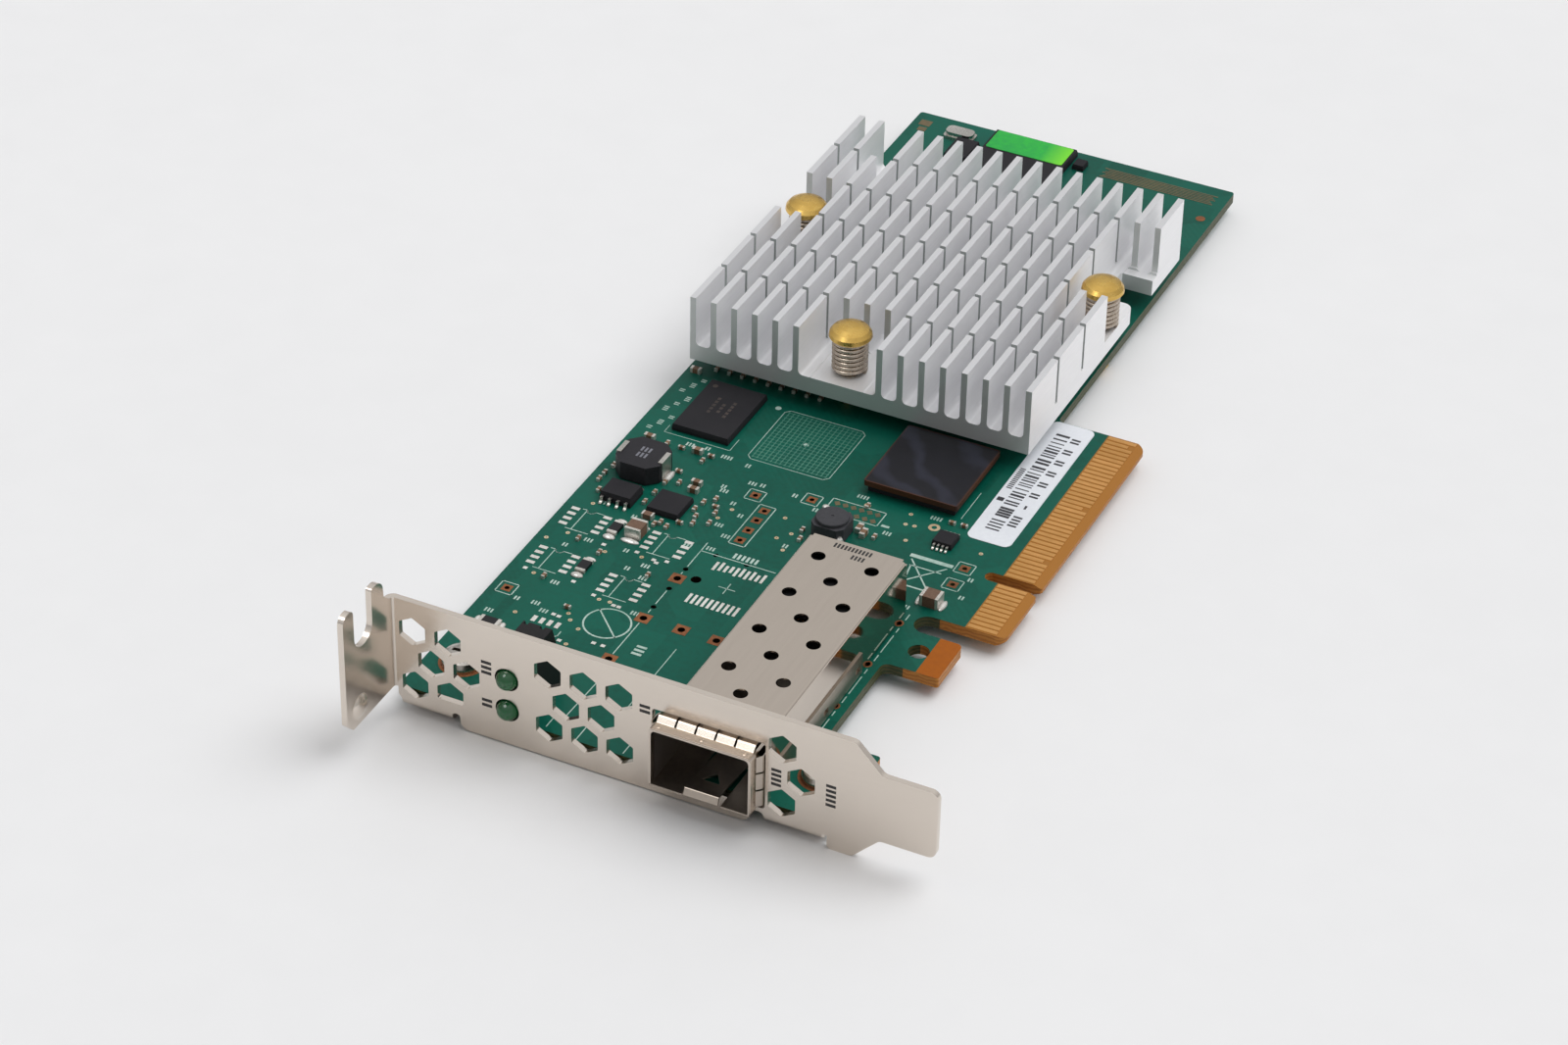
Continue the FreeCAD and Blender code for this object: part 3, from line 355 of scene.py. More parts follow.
copper += [disc(*lone_pad, 0.75)]
plates("bare_copper_pads", copper, 0, foil, bare_copper)

# The unused contact band and the corner pads at the far end, and a row of slanted pads behind the
# cage: thin copper under a brownish coat.
dull_copper = finish("dull_copper", "7C6A4C", "5A5540", grain=0.6, roughness=(0.45, 0.6), relief=0.01,
                     metallic=0.3)
band_x, band_y, band_pitch = -25.0, 105.15, 0.42
slant_x, slant_y, slant_pitch = -33.4, 5.15, 1.25
strips = [rectangle(band_x, band_y + band_pitch * k, 19.0 - 0.7 * (k % 3), 0.24) for k in range(7)]
strips += [rectangle(-65.4, 107.2, 1.9, 1.7), rectangle(-65.2, 105.3, 1.4, 1.2)]
strips += [rectangle(slant_x + slant_pitch * k, slant_y + 0.85 * side, 0.72, 0.9, 35)
           for k in range(6) for side in (-1, 1)]
plates("dull_copper_strips", strips, 0, foil, dull_copper)

# Tinned pads --------------------------------------------------------------------------------------
# Pads for parts that this card leaves out: eight-lead packages, a second port's connector and small
# chips. They were dipped in solder and blown level, so they stand proud and shine.

# Solder, levelled with hot air: a bright soft metal with a gentle crown and a few dull specks.
levelled_solder = finish("levelled_solder", "F0EEE9", "D6D2CB", grain=0.45, roughness=(0.25, 0.42),
                         relief=0.01, metallic=0.45)
lead_pitch = 1.27
package_sites = [(-62.95, -13.9), (-50.2, -13.9), (-62.6, -24.05), (-51.0, -25.45)]
package_half = 2.52
pads = []
for x, y in package_sites:
    for side in (-1, 1):
        lead_x = x + side * package_half
        pads += [rectangle(lead_x, y + lead_pitch * (k - 1.5), 1.25, 0.62) for k in range(4)]
contacts_left, contact_step, contact_wide = -42.0, 0.8, 0.42
near_row_y, far_row_y = -23.4, -15.2
short_contacts = (2, 3, 8)
for k in range(10):
    contact_x = contacts_left + contact_step * k
    far_long = 2.0 - 0.5 * (k in short_contacts)
    pads += [rectangle(contact_x, near_row_y, contact_wide, 2.1)]
    pads += [rectangle(contact_x, far_row_y + 0.2 * (k % 2), contact_wide, far_long)]
pair_sites = [(-53.1, -17.3), (-48.4, -17.4), (-50.3, -29.65), (-49.5, -29.65), (-56.6, -35.1),
              (-55.75, -35.2), (-48.8, -38.3), (-47.4, -38.3), (-65.1, -27.5), (-57.7, -27.3),
              (-53.8, -28.8), (-58.0, -17.8), (-50.2, -17.85), (-49.6, -18.3), (-53.2, -39.9)]
pads += [rectangle(x, y, 0.62, 0.55) for x, y in pair_sites]
bank_x, bank_y, bank_pitch = -58.5, -37.1, 1.19
pads += [rectangle(bank_x + bank_pitch * k, bank_y, 0.62, 1.3) for k in range(4)]
solder_proud = 0.06
plates("tinned_pads", pads, 0, solder_proud, levelled_solder)

# Gold dots: plated through-holes and fiducials left free of mask.
gold_dot = finish("plated_via", "E3D2B4", "C4A682", grain=0.3, roughness=(0.35, 0.5), relief=0.006,
                  metallic=0.4)
via_places = [(-54.9, -34.0), (-54.0, -35.2), (-61.5, -37.0), (-52.1, -36.5), (-52.0, -40.2), (-23.1, 8.3),
              (-22.8, 5.8), (-21.5, 5.95), (-21.2, 2.3), (-10.6, 4.2), (-63.5, -28.0), (-63.75, -17.6),
              (-52.7, -29.3), (-51.1, -29.2), (-52.0, -18.0), (-63.9, -9.8), (-45.9, -2.2), (-46.8, -4.9),
              (-36.0, -3.6), (-38.4, -0.6), (-37.4, -5.4), (-35.4, -7.6), (-65.9, -19.9), (-57.1, -19.2)]
vias = [ring(x, y, 0.32, 0.09, 14) for x, y in via_places]
vias += [ring(-18.9, 6.9, 0.85, 0.4, 24), ring(-29.4, 7.45, 0.5, 0.16, 16)]
plates("plated_vias", vias, 0, foil, gold_dot)


def stroke(x0, y0, x1, y1, wide):
    """The outline of a straight line."""
    long = math.hypot(x1 - x0, y1 - y0)
    turn = math.degrees(math.atan2(y1 - y0, x1 - x0))
    return rectangle((x0 + x1) / 2, (y0 + y1) / 2, long + wide, wide, turn)


# The unused ball-grid site: rows of small pads joined by fine tracks, under a thin haze of mask. The
# real tracks are 0.1 mm wide; they are drawn 0.14 mm to show.
hazed_pad = finish("hazed_pad", "4F8773", "41796A", grain=0.4, roughness=(0.4, 0.5), relief=0.004,
                   sheen_cut=0.5)
grid_pitch = 0.72
grid_left, grid_near, grid_columns, grid_rows = -49.1, 10.9, 17, 18
grid_right = grid_left + grid_pitch * (grid_columns - 1)
grid_far = grid_near + grid_pitch * (grid_rows - 1)
balls = [stroke(grid_left + grid_pitch * i, grid_near, grid_left + grid_pitch * i, grid_far, 0.14)
         for i in range(grid_columns)]
balls += [stroke(grid_left, grid_near + grid_pitch * j, grid_right, grid_near + grid_pitch * j, 0.1)
          for j in range(grid_rows)]
plates("ball_grid_pads", balls, 0, foil, hazed_pad)
balls = [disc(grid_left + grid_pitch * i, grid_near + grid_pitch * j, 0.17, 8)
         for i in range(grid_columns) for j in range(grid_rows)]
plates("ball_grid_dots", balls, 0, 0.04, hazed_pad)

# Soldered joints ----------------------------------------------------------------------------------
# Fillets of solder that climb the ends of the larger parts. The solder was printed on the pads as a
# paste, and drew itself up the metal ends when it melted in the oven.

# Reflowed solder: smooth, bright and slightly wavy.
joint_solder = finish("reflowed_solder", "F0EEEA", "CFCBC4", grain=0.7, roughness=(0.2, 0.34), relief=0.015,
                      metallic=0.6)
# Each fillet: its centre, its half sizes across and along the card, and its height.
joint_sites = [(-55.15, -15.5, 1.45, 0.55, 0.45), (-58.2, -15.95, 0.95, 0.6, 0.5),
               (-57.95, -25.85, 0.95, 0.6, 0.5), (-10.35, -9.35, 0.5, 1.3, 0.5),
               (-13.8, -9.35, 0.45, 1.3, 0.5), (-57.3, 0.75, 0.55, 1.6, 0.5),
               (-65.3, 0.75, 0.5, 1.6, 0.5), (-58.2, -11.9, 0.85, 0.45, 0.4),
               (-57.95, -21.8, 0.85, 0.45, 0.4), (-55.15, -11.75, 1.3, 0.4, 0.4),
               (-61.5, -40.75, 0.45, 0.85, 0.4), (-65.2, -40.75, 0.45, 0.85, 0.4),
               (-29.4, -2.2, 0.75, 0.6, 0.35), (-33.3, 1.2, 0.6, 0.6, 0.35),
               (-34.4, 4.4, 0.6, 0.5, 0.4)]


def mound(mesh, x, y, half_x, half_y, tall, rings=5, sides=20):
    """A low closed mound of solder on the board."""
    steps = [2 * math.pi * k / sides for k in range(sides)]
    rows = []
    for step in range(rings):
        lift = math.pi / 2 * step / rings
        rows.append([mesh.verts.new(((x + half_x * math.cos(lift) * math.cos(a)) * MM,
                                     (y + half_y * math.cos(lift) * math.sin(a)) * MM,
                                     tall * math.sin(lift) * MM)) for a in steps])
    top = mesh.verts.new((x * MM, y * MM, tall * MM))
    mesh.faces.new(rows[0][::-1])
    for k in range(sides):
        n = (k + 1) % sides
        for lower, upper in zip(rows, rows[1:]):
            mesh.faces.new((lower[k], lower[n], upper[n], upper[k])).smooth = True
        mesh.faces.new((rows[-1][k], rows[-1][n], top)).smooth = True


joints = bmesh.new()
for site in joint_sites:
    mound(joints, *site)
link_piece("solder_joints", joints, joint_solder)

# Board print --------------------------------------------------------------------------------------
# White epoxy ink, screened on the mask: outlines of parts, pin-one arcs, a barred ring, a crossed
# square and short tally strokes where the parts are marked.


def frame_strokes(left, right, near, far, wide):
    """Four lines round a rectangle."""
    return [stroke(left, near, right, near, wide), stroke(right, near, right, far, wide),
            stroke(right, far, left, far, wide), stroke(left, far, left, near, wide)]


# Screened epoxy ink: matt, off-white, thin enough for a little green to show through.
screened_ink = finish("screened_ink", "BFD0C8", "93B1A5", grain=0.5, roughness=(0.5, 0.65), relief=0.004,
                      sheen_cut=0.5)
ink_t = 0.022
line_w = 0.15
printed = []
for x, y in package_sites:
    printed += [stroke(x - 0.85, y - 2.6, x - 0.85, y + 2.2, line_w),
                stroke(x - 1.7, y - 2.75, x + 1.75, y - 2.75, line_w),
                stroke(x - 1.5, y + 2.3, x - 0.8, y + 2.3, line_w),
                stroke(x + 0.4, y + 2.3, x + 1.7, y + 2.3, line_w)]
    arc = [(x - 0.2 + 0.6 * math.cos(a), y + 2.3 - 0.6 * math.sin(a))
           for a in [math.pi * k / 8 for k in range(9)]]
    printed += [stroke(*a, *b, line_w) for a, b in zip(arc, arc[1:])]
for x, y in test_holes:
    printed += frame_strokes(x - 1.25, x + 1.25, y - 1.25, y + 1.25, line_w)
printed += frame_strokes(-42.95, -40.45, -9.45, 0.8, line_w)
printed += frame_strokes(-34.4, -26.2, 3.5, 6.9, line_w)
printed += [stroke(-63.1, 10.6, -52.6, 10.6, 0.1), stroke(-52.6, 10.6, -52.6, 13.6, 0.1),
            stroke(-63.1, 10.6, -63.1, 12.4, 0.1)]
divider_x, spare_x, pin_line_x = -45.4, -38.3, -13.6
site_lines = [(divider_x, -10.9, divider_x, -17.0), (divider_x, -18.6, divider_x, -18.9),
              (divider_x, -23.4, divider_x, -26.6), (divider_x, -28.2, divider_x, -28.8),
              (divider_x, -31.6, divider_x, -39.2), (divider_x, -12.9, -34.0, -12.9),
              (spare_x, -34.5, spare_x, -50.0), (-39.5, -19.2, -37.1, -19.2),
              (spare_x, -20.4, spare_x, -18.0)]
printed += [stroke(*line, line_w) for line in site_lines]
for y in right_pin_y:
    printed += [stroke(pin_line_x, y + near, pin_line_x, y + far, line_w)
                for near, far in ((2.4, 1.1), (-1.1, -2.0), (-2.9, -6.95))]
printed += [stroke(-53.9, -38.1, -53.9, -39.2, line_w), stroke(-53.9, -39.2, -54.5, -39.6, line_w)]
ring_x, ring_y, ring_r = -49.2, -33.6, 3.27
slash = ring_r * math.sqrt(0.5)
printed += [ring(ring_x, ring_y, ring_r + 0.13, ring_r - 0.13, 64),
            stroke(ring_x - slash, ring_y + slash, ring_x + slash, ring_y - slash, 0.22)]
printed += [rectangle(-16.0, -0.4, 6.4, 0.75), stroke(-18.6, -1.3, -13.6, -7.2, 0.22),
            stroke(-13.4, -1.3, -18.4, -7.2, 0.22), stroke(-18.3, -2.6, -13.7, -2.6, 0.22),
            stroke(-17.9, -7.2, -14.1, -7.2, 0.3), stroke(-18.2, -2.6, -17.4, -7.2, 0.22)]
grid_frame = [(-49.1, 10.2), (-37.7, 10.2), (-37.0, 10.9), (-37.0, 23.0), (-37.7, 23.7), (-49.1, 23.7),
              (-49.8, 23.0), (-49.8, 10.9)]
printed += [stroke(*a, *b, 0.11) for a, b in zip(grid_frame, grid_frame[1:] + grid_frame[:1])]
printed += [disc(-43.5, 16.9, 0.4), disc(-51.1, 23.5, 0.45), rectangle(-25.1, 4.0, 1.2, 0.5)]
printed += [stroke(-16.4, 10.6, -16.4, 17.5, 0.11)]


def tally(x, y, count, tall, along=True):
    """A short run of plain strokes, where a part is marked."""
    gap = 0.55 * tall
    offsets = [gap * (k - (count - 1) / 2) for k in range(count)]
    if along:
        return [rectangle(x + d, y, 0.3 * tall, tall) for d in offsets]
    return [rectangle(x, y + d, tall, 0.3 * tall) for d in offsets]


tally_sites = [(-62.7, -8.9, 2), (-57.3, -10.0, 2), (-47.6, -12.6, 3), (-60.4, -17.8, 3), (-50.6, -19.6, 3),
               (-54.6, -17.6, 2), (-62.8, -20.2, 2), (-59.9, -28.6, 3), (-52.6, -21.2, 2), (-49.6, -22.3, 3),
               (-46.9, -29.9, 3), (-60.0, -33.9, 3), (-58.2, -35.0, 3), (-47.6, -41.2, 3), (-62.8, -34.1, 2),
               (-64.9, -38.2, 3), (-48.9, 1.4, 3), (-49.4, 2.3, 2), (-46.4, -0.8, 2), (-45.9, -6.3, 3),
               (-46.1, 4.8, 3), (-44.6, 5.0, 2), (-35.5, 3.1, 2), (-44.2, -3.0, 2), (-43.9, -8.3, 3),
               (-39.5, 4.9, 2), (-30.8, 9.0, 4), (-19.5, 9.0, 4), (-13.3, 9.9, 3), (-9.4, -2.1, 2),
               (-8.9, -6.4, 2), (-14.9, -11.7, 3), (-58.3, 9.4, 3), (-55.6, 9.6, 2), (-52.2, 8.9, 4),
               (-48.6, 8.4, 2), (-31.9, -5.9, 3), (-35.5, -6.6, 2), (-24.2, 2.6, 3), (-44.4, -11.9, 3)]
for x, y, count in tally_sites:
    printed += tally(x, y, count, 0.85)
for k in range(9):
    printed += tally(-65.6 + 0.9 * (k % 3), 10.8 + 1.75 * k, 2 + k % 2, 0.8, along=False)
printed += tally(-39.0, -11.85, 6, 1.2)
printed += [stroke(-44.4, -45.6, -44.7, -54.6, line_w), stroke(-45.95, -54.6, -45.95, -57.0, line_w),
            stroke(-41.2, -54.9, -41.2, -57.6, line_w), stroke(-34.4, -54.4, -34.4, -57.4, line_w)]
printed += tally(-42.6, -37.0, 3, 1.5, along=False)
printed += tally(-42.6, -41.6, 2, 1.5, along=False)
plates("board_print", printed, 0, ink_t, screened_ink)

# Edge connector contacts --------------------------------------------------------------------------
# Copper fingers, etched with the tracks and plated with hard gold over nickel. They are bevelled with
# the board's tip, so that the card slides into its slot.

# Hard electroplated gold: satin, warm and a little brown, with fine scratches along the insertion.
hard_gold = finish("hard_gold_plate", "E6AE6A", "D09A57", grain=0.25, roughness=(0.3, 0.45), relief=0.004,
                   metallic=0.85, stretch=(6, 1, 1))
dress(hard_gold, "edge_contacts")

# Bracket ------------------------------------------------------------------------------------------
# Stamped and folded from one sheet of steel, then barrel-plated with nickel. Its screws are plated
# steel too, driven through the board into its feet.

# Nickel over rolled steel: a warm pale grey, satin and even, with the faintest rolling lines.
nickel_plate = finish("nickel_plated_steel", "E0D6CB", "DCD2C7", grain=0.5, roughness=(0.2, 0.24),
                      relief=0.0001, metallic=0.95, stretch=(9, 9, 1))
dress(nickel_plate, "bracket")

# Plated machine screws: brighter, with turning marks.
screw_steel = finish("plated_screw_steel", "CBC6BF", "A9A49C", grain=0.4, roughness=(0.2, 0.3),
                     relief=0.001, metallic=1.0)
dress(screw_steel, "bracket_screws")

# Pad-printed ink on the bracket: plain strokes beside each lamp and beside the port.
dark_ink = finish("pad_printed_ink", "2B2A2A", "1E1D1D", grain=0.4, roughness=(0.45, 0.6), relief=0.004)
bracket_face_y = -59.05


def flat_on_bracket(u, v, h):
    """Puts a pattern's point on the bracket's outer face: u is across, v is up."""
    return u, bracket_face_y - h, v


bracket_tallies = [(-53.6, 8.4, 3, 1.5), (-53.6, 2.6, 2, 1.5), (-30.4, 9.9, 2, 1.5),
                   (-11.6, 5.6, 4, 1.4), (-3.9, 5.4, 5, 1.4)]
marks = [mark for site in bracket_tallies for mark in tally(*site, along=False)]
plates("bracket_marks", marks, 0, ink_t, dark_ink, flat_on_bracket)

# Port cage ----------------------------------------------------------------------------------------
# Folded from thin nickel-silver strip: a pierced shell, a tray with a springy latch, and a plated
# spring collar, spot-welded round the mouth, that presses on the bracket.

# Nickel silver, bright-rolled: smooth enough to mirror the board, with faint lines along the strip.
# Inside the cage it is rougher and less metallic, and painted shade makes it darker.
nickel_silver = finish("rolled_nickel_silver", "CABFB3", "C6BBAF", grain=0.6, roughness=(0.07, 0.10),
                       metallic=1.0, stretch=(1, 12, 1))
shell_low, shell_high = (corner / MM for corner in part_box("cage_shell"))
shell_wall, mouth_deep, cage_floor_z = 0.2, 1.0, -1.0
polished_rough, dulled_rough = 0.085, 0.32
tree = nickel_silver.tree
x, y, z = node(tree, "SeparateXYZ", {0: nickel_silver.place}).outputs
inside = node(tree, "Math", {0: y, 1: shell_low.y + mouth_deep}, operation="GREATER_THAN").outputs[0]
for value, low, high in ((x, shell_low.x + shell_wall, shell_high.x - shell_wall),
                         (z, cage_floor_z, shell_high.z - shell_wall)):
    centred = node(tree, "Math", {0: value, 1: (low + high) / 2}, operation="SUBTRACT").outputs[0]
    centred = node(tree, "Math", {0: centred}, operation="ABSOLUTE").outputs[0]
    within = node(tree, "Math", {0: centred, 1: (high - low) / 2}, operation="LESS_THAN").outputs[0]
    inside = node(tree, "Math", {0: inside, 1: within}, operation="MULTIPLY").outputs[0]
# Painted shade: inside the cage the colour is darkened towards 8F8780.
inside_painted_shade = node(tree, "Mix", {0: inside, 6: nickel_silver.colour, 7: linear("8F8780")}, data_type="RGBA")
tree.links.new(inside_painted_shade.outputs[2], nickel_silver.shader.inputs["Base Color"])
blurred = node(tree, "MapRange", {"Value": inside, "To Min": polished_rough, "To Max": dulled_rough})
tree.links.new(blurred.outputs[0], nickel_silver.shader.inputs["Roughness"])
inside_metallic = node(tree, "MapRange", {"Value": inside, "To Min": 1.0, "To Max": 0.85})
tree.links.new(inside_metallic.outputs[0], nickel_silver.shader.inputs["Metallic"])
dress(nickel_silver, "cage_shell")
# The tray is left as formed: duller, with a soft sheen.
formed_strip = finish("formed_nickel_silver", "B3A89C", "A79C91", grain=0.6, roughness=(0.3, 0.36),
                      metallic=1.0)
dress(formed_strip, "cage_base")

# Tin-plated spring strip: as pale as the shell, but softer in what it mirrors.
spring_strip = finish("plated_spring_strip", "CBC0B5", "C6BBB0", grain=0.6, roughness=(0.19, 0.2),
                      metallic=1.0)
dress(spring_strip, "cage_spring_collar")
cage_top_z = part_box("cage_shell")[1][2] / MM
collar_strip, weld_y = 0.12, -61.0
welds = bmesh.new()
for weld_x in (-27.4, -21.3, -15.2):
    mound(welds, weld_x, weld_y, 0.34, 0.3, 0.05, rings=3, sides=16)
bmesh.ops.translate(welds, verts=welds.verts, vec=(0, 0, (cage_top_z + collar_strip) * MM))
link_piece("collar_weld_marks", welds, spring_strip)

# Two short rows of printed strokes on the roof.
marks = tally(-21.6, -14.75, 11, 0.95) + tally(-20.2, -16.3, 4, 0.95)
plates("cage_marks", marks, cage_top_z, cage_top_z + ink_t, dark_ink)

# Port connector -----------------------------------------------------------------------------------
# The black connector at the back of the cage, moulded in glass-filled liquid-crystal polymer, with
# plated spring contacts.

# Glass-filled polymer, moulded: matt black with a fine flow texture.
black_polymer = finish("moulded_black_polymer", "262526", "1A1A1B", grain=0.4, roughness=(0.5, 0.62),
                       relief=0.006, ior=1.5, sheen_cut=0.45)
dress(black_polymer, "port_connector", "lamp_housing")
dress(hard_gold, "port_contacts")

# Heatsink -----------------------------------------------------------------------------------------
# Extruded aluminium, cross-cut into rows of pins and milled round its fasteners, then etched and
# clear-anodised. Brass push pins and steel springs hold it on the controller.

# Clear-anodised aluminium: pale, cool and satin, with fine lines drawn along the extrusion. Painted
# shade makes the tops of the fins a shade darker, and the faces turned to the front and back darker again.
anodised = finish("clear_anodised_aluminium", "FAFAFB", "F4F4F6", grain=0.35, roughness=(0.42, 0.5),
                  relief=0.0006, metallic=0.5, stretch=(1, 14, 1), sheen_cut=0.8)
tree = anodised.tree
sink_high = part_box("heatsink")[1] / MM
top_skin, end_facing = 0.05, 0.9
# Painted shade: the tops of the fins are darkened.
painted_top_shade = node(tree, "SeparateXYZ", {0: anodised.place}).outputs[2]
painted_top_shade = node(tree, "Math", {0: painted_top_shade, 1: sink_high.z - top_skin}, operation="GREATER_THAN").outputs[0]
painted_top_shade = node(tree, "Mix", {0: painted_top_shade, 6: anodised.colour, 7: linear("DCDCDE")},
              data_type="RGBA").outputs[2]
# Painted shade: faces turned to the front and back are darkened.
ends = node(tree, "SeparateXYZ", {0: anodised.facing}).outputs[1]
ends = node(tree, "Math", {0: ends}, operation="ABSOLUTE").outputs[0]
ends = node(tree, "Math", {0: ends, 1: end_facing}, operation="GREATER_THAN").outputs[0]
painted_end_shade = node(tree, "Mix", {0: ends, 6: painted_top_shade, 7: linear("C4C8C7")}, data_type="RGBA").outputs[2]
tree.links.new(painted_end_shade, anodised.shader.inputs["Base Color"])
dress(anodised, "heatsink")

# Brass, turned: warm yellow and satin, faintly clouded where it was handled.
turned_brass = finish("turned_brass", "E3BE6C", "D2AB5A", grain=1.6, roughness=(0.24, 0.3),
                      metallic=1.0)
dress(turned_brass, "heatsink_pins")

# Nickel-plated spring wire: bright, with drawing lines too fine to see.
spring_wire = finish("plated_spring_wire", "CBBEB0", "B0A395", grain=0.6, roughness=(0.24, 0.3),
                     metallic=1.0)
dress(spring_wire, "heatsink_springs")

# Controller ---------------------------------------------------------------------------------------
# The main chip under the heatsink: a laminate carrier, with a stamped metal lid glued over the die.
# A soft thermal pad on the lid takes its heat to the heatsink.

# Carrier laminate: dull green-brown epoxy glass.
carrier = finish("carrier_laminate", "3F5A3A", "324A30", grain=0.5, roughness=(0.4, 0.55), relief=0.006,
                 ior=1.52)
dress(carrier, "controller_substrate")
# Stamped lid: nickel-plated copper, satin.
stamped_lid = finish("nickel_plated_lid", "BDBAB4", "A5A29C", grain=0.4, roughness=(0.3, 0.42),
                     relief=0.003, metallic=1.0)
dress(stamped_lid, "controller_lid")
# Filled silicone pad: matt, soft, grey-blue.
silicone_pad = finish("filled_silicone_pad", "8E97A3", "7D8693", grain=0.5, roughness=(0.7, 0.85),
                      relief=0.02, ior=1.43)
dress(silicone_pad, "thermal_pad")

# Chips --------------------------------------------------------------------------------------------
# Packages moulded in black filled epoxy. Their tops are faintly sandy from the mould, and a laser
# has burnt plain pale strokes into some of them. Their leads are copper alloy, tinned.

# Moulded epoxy with a silica filler: matt, near black, sandy.
moulded_epoxy = finish("moulded_epoxy", "2B2A2D", "212024", grain=0.25, roughness=(0.55, 0.7), relief=0.006,
                       ior=1.5, sheen_cut=0.4)
dress(moulded_epoxy, "memory_chip", "switch_chip", "driver_chip", "regulator_chip", "flash_chip",
      "far_end_chips")
# Tinned leads: matt tin.
tinned_leads = finish("matt_tin_plate", "D3D0CA", "B0ACA5", grain=0.3, roughness=(0.3, 0.45),
                      relief=0.006, metallic=0.95)
dress(tinned_leads, "driver_chip_leads", "flash_chip_leads", "lamp_leads", "power_inductor_terminals")

# Laser strokes: the burnt epoxy is a dusty brown-grey.
burnt_epoxy = finish("laser_burnt_epoxy", "534B47", "423C3A", grain=0.3, roughness=(0.65, 0.8), relief=0.004,
                     sheen_cut=0.4)
memory_low, memory_high = (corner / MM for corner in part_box("memory_chip"))
memory_x = (memory_low.x + memory_high.x) / 2
rows_y, row_pitch, stroke_pitch, burn_raised = 18.0, 1.3, 0.9, 0.012
strokes = []
for row, long in enumerate((4.6, 3.4, 5.0)):
    row_x = memory_x - 1.2 + row_pitch * row
    strokes += [rectangle(row_x, rows_y + stroke_pitch * k - long / 2 + 1.0, 0.5, 0.6)
                for k in range(int(long / stroke_pitch))]
strokes += [disc(memory_x - 3.2, 23.0, 0.4)]
plates("memory_chip_marks", strokes, memory_high.z, memory_high.z + burn_raised, burnt_epoxy)

# Heat spreader ------------------------------------------------------------------------------------
# A copper plate bonded on the square package. Its top is blackened with a bluish oxide, streaked
# where it was wiped, and the copper shows through along its worn edges.

# Black copper oxide: deep blue-black, semi-gloss, with a dusty bluish haze in diagonal wipes.
blackened = finish("blackened_copper", "1E1E24", "151419", grain=0.9, roughness=(0.36, 0.5), relief=0.003,
                   metallic=0.1, stretch=(2.5, 1, 1), sheen_cut=0.45)
tree = blackened.tree
x, y, _ = node(tree, "SeparateXYZ", {0: blackened.place}).outputs
haze = node(tree, "TexWave", {"Vector": blackened.place, "Scale": 0.07, "Distortion": 5.0, "Detail": 3.0,
                              "Detail Scale": 1.5}, bands_direction="DIAGONAL").outputs[1]
haze = node(tree, "MapRange", {"Value": haze, "From Min": 0.55, "From Max": 1.0, "To Max": 0.35}).outputs[0]
hazy = node(tree, "Mix", {0: haze, 6: blackened.colour, 7: linear("3E4050")}, data_type="RGBA").outputs[2]
low, high = (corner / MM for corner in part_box("heat_spreader"))
worn, worn_wide = [], 0.32
for value, middle, half in ((x, (low.x + high.x) / 2, (high.x - low.x) / 2),
                            (y, (low.y + high.y) / 2, (high.y - low.y) / 2)):
    off = node(tree, "Math", {0: value, 1: middle}, operation="SUBTRACT").outputs[0]
    off = node(tree, "Math", {0: off}, operation="ABSOLUTE").outputs[0]
    span = {"Value": off, "From Min": half - worn_wide, "From Max": half}
    worn.append(node(tree, "MapRange", span).outputs[0])
rim = node(tree, "Math", {0: worn[0], 1: worn[1]}, operation="MAXIMUM").outputs[0]
patchy = node(tree, "MapRange", {"Value": blackened.drifts, "From Min": 0.3, "From Max": 0.55}).outputs[0]
rim = node(tree, "Math", {0: rim, 1: patchy}, operation="MULTIPLY").outputs[0]
edged = node(tree, "Mix", {0: rim, 6: hazy, 7: linear("553220")}, data_type="RGBA").outputs[2]
tree.links.new(edged, blackened.shader.inputs["Base Color"])
dress(blackened, "heat_spreader")

# Inductors ----------------------------------------------------------------------------------------
# A shielded power inductor with tinned clips and a small drum inductor, both pressed and sintered
# from ferrite powder. A pale printed patch marks the larger one.

# Sintered ferrite: dull dark grey, granular, with small chips along its edges.
ferrite = finish("sintered_ferrite", "2C2B2F", "1F1E22", grain=0.5, roughness=(0.5, 0.65), relief=0.012,
                 ior=1.5, sheen_cut=0.55)
dress(ferrite, "power_inductor")
# The drum's ferrite is a shade paler.
drum_ferrite = finish("sintered_drum_ferrite", "424246", "36363A", grain=0.5, roughness=(0.5, 0.65),
                      relief=0.012, ior=1.5, sheen_cut=0.55)
dress(drum_ferrite, "round_inductor")
inductor_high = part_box("power_inductor")[1] / MM
# Pad-printed ink: matt grey, thin.
pale_ink = finish("pale_ink", "7E7F88", "66676F", grain=0.35, roughness=(0.5, 0.65), relief=0.006)
marks = tally(-61.3, 1.55, 3, 1.1) + tally(-61.3, 0.1, 3, 1.1)
pale_ink_t = 0.015
plates("inductor_marks", marks, inductor_high.z, inductor_high.z + pale_ink_t, pale_ink)
dress(joint_solder, "round_inductor_terminals")

# Indicator lamps ----------------------------------------------------------------------------------
# Two green lamps, moulded in tinted epoxy and held in a black right-angle block behind the bracket.
# Their leads bend down to the board.

# Tinted epoxy lens: glossy, deep green, lets some light through.
green_lens = finish("tinted_lens", "2A7C4A", "25743F", grain=2.4, roughness=(0.03, 0.05),
                    ior=1.55)
green_lens.shader.inputs["Transmission Weight"].default_value = 0.35
dress(green_lens, "lamp_lenses")

# Chip capacitors and resistors --------------------------------------------------------------------
# Ceramic blocks fired with metal ends, and thick-film resistors with a black glaze. All are reflow
# soldered.

# Fired barium titanate: matt brown, finely speckled.
brown_ceramic = finish("brown_ceramic", "79604F", "654D3F", grain=0.3, roughness=(0.45, 0.6), relief=0.004,
                       ior=1.5, sheen_cut=0.5)
dress(brown_ceramic, "bulk_capacitors")
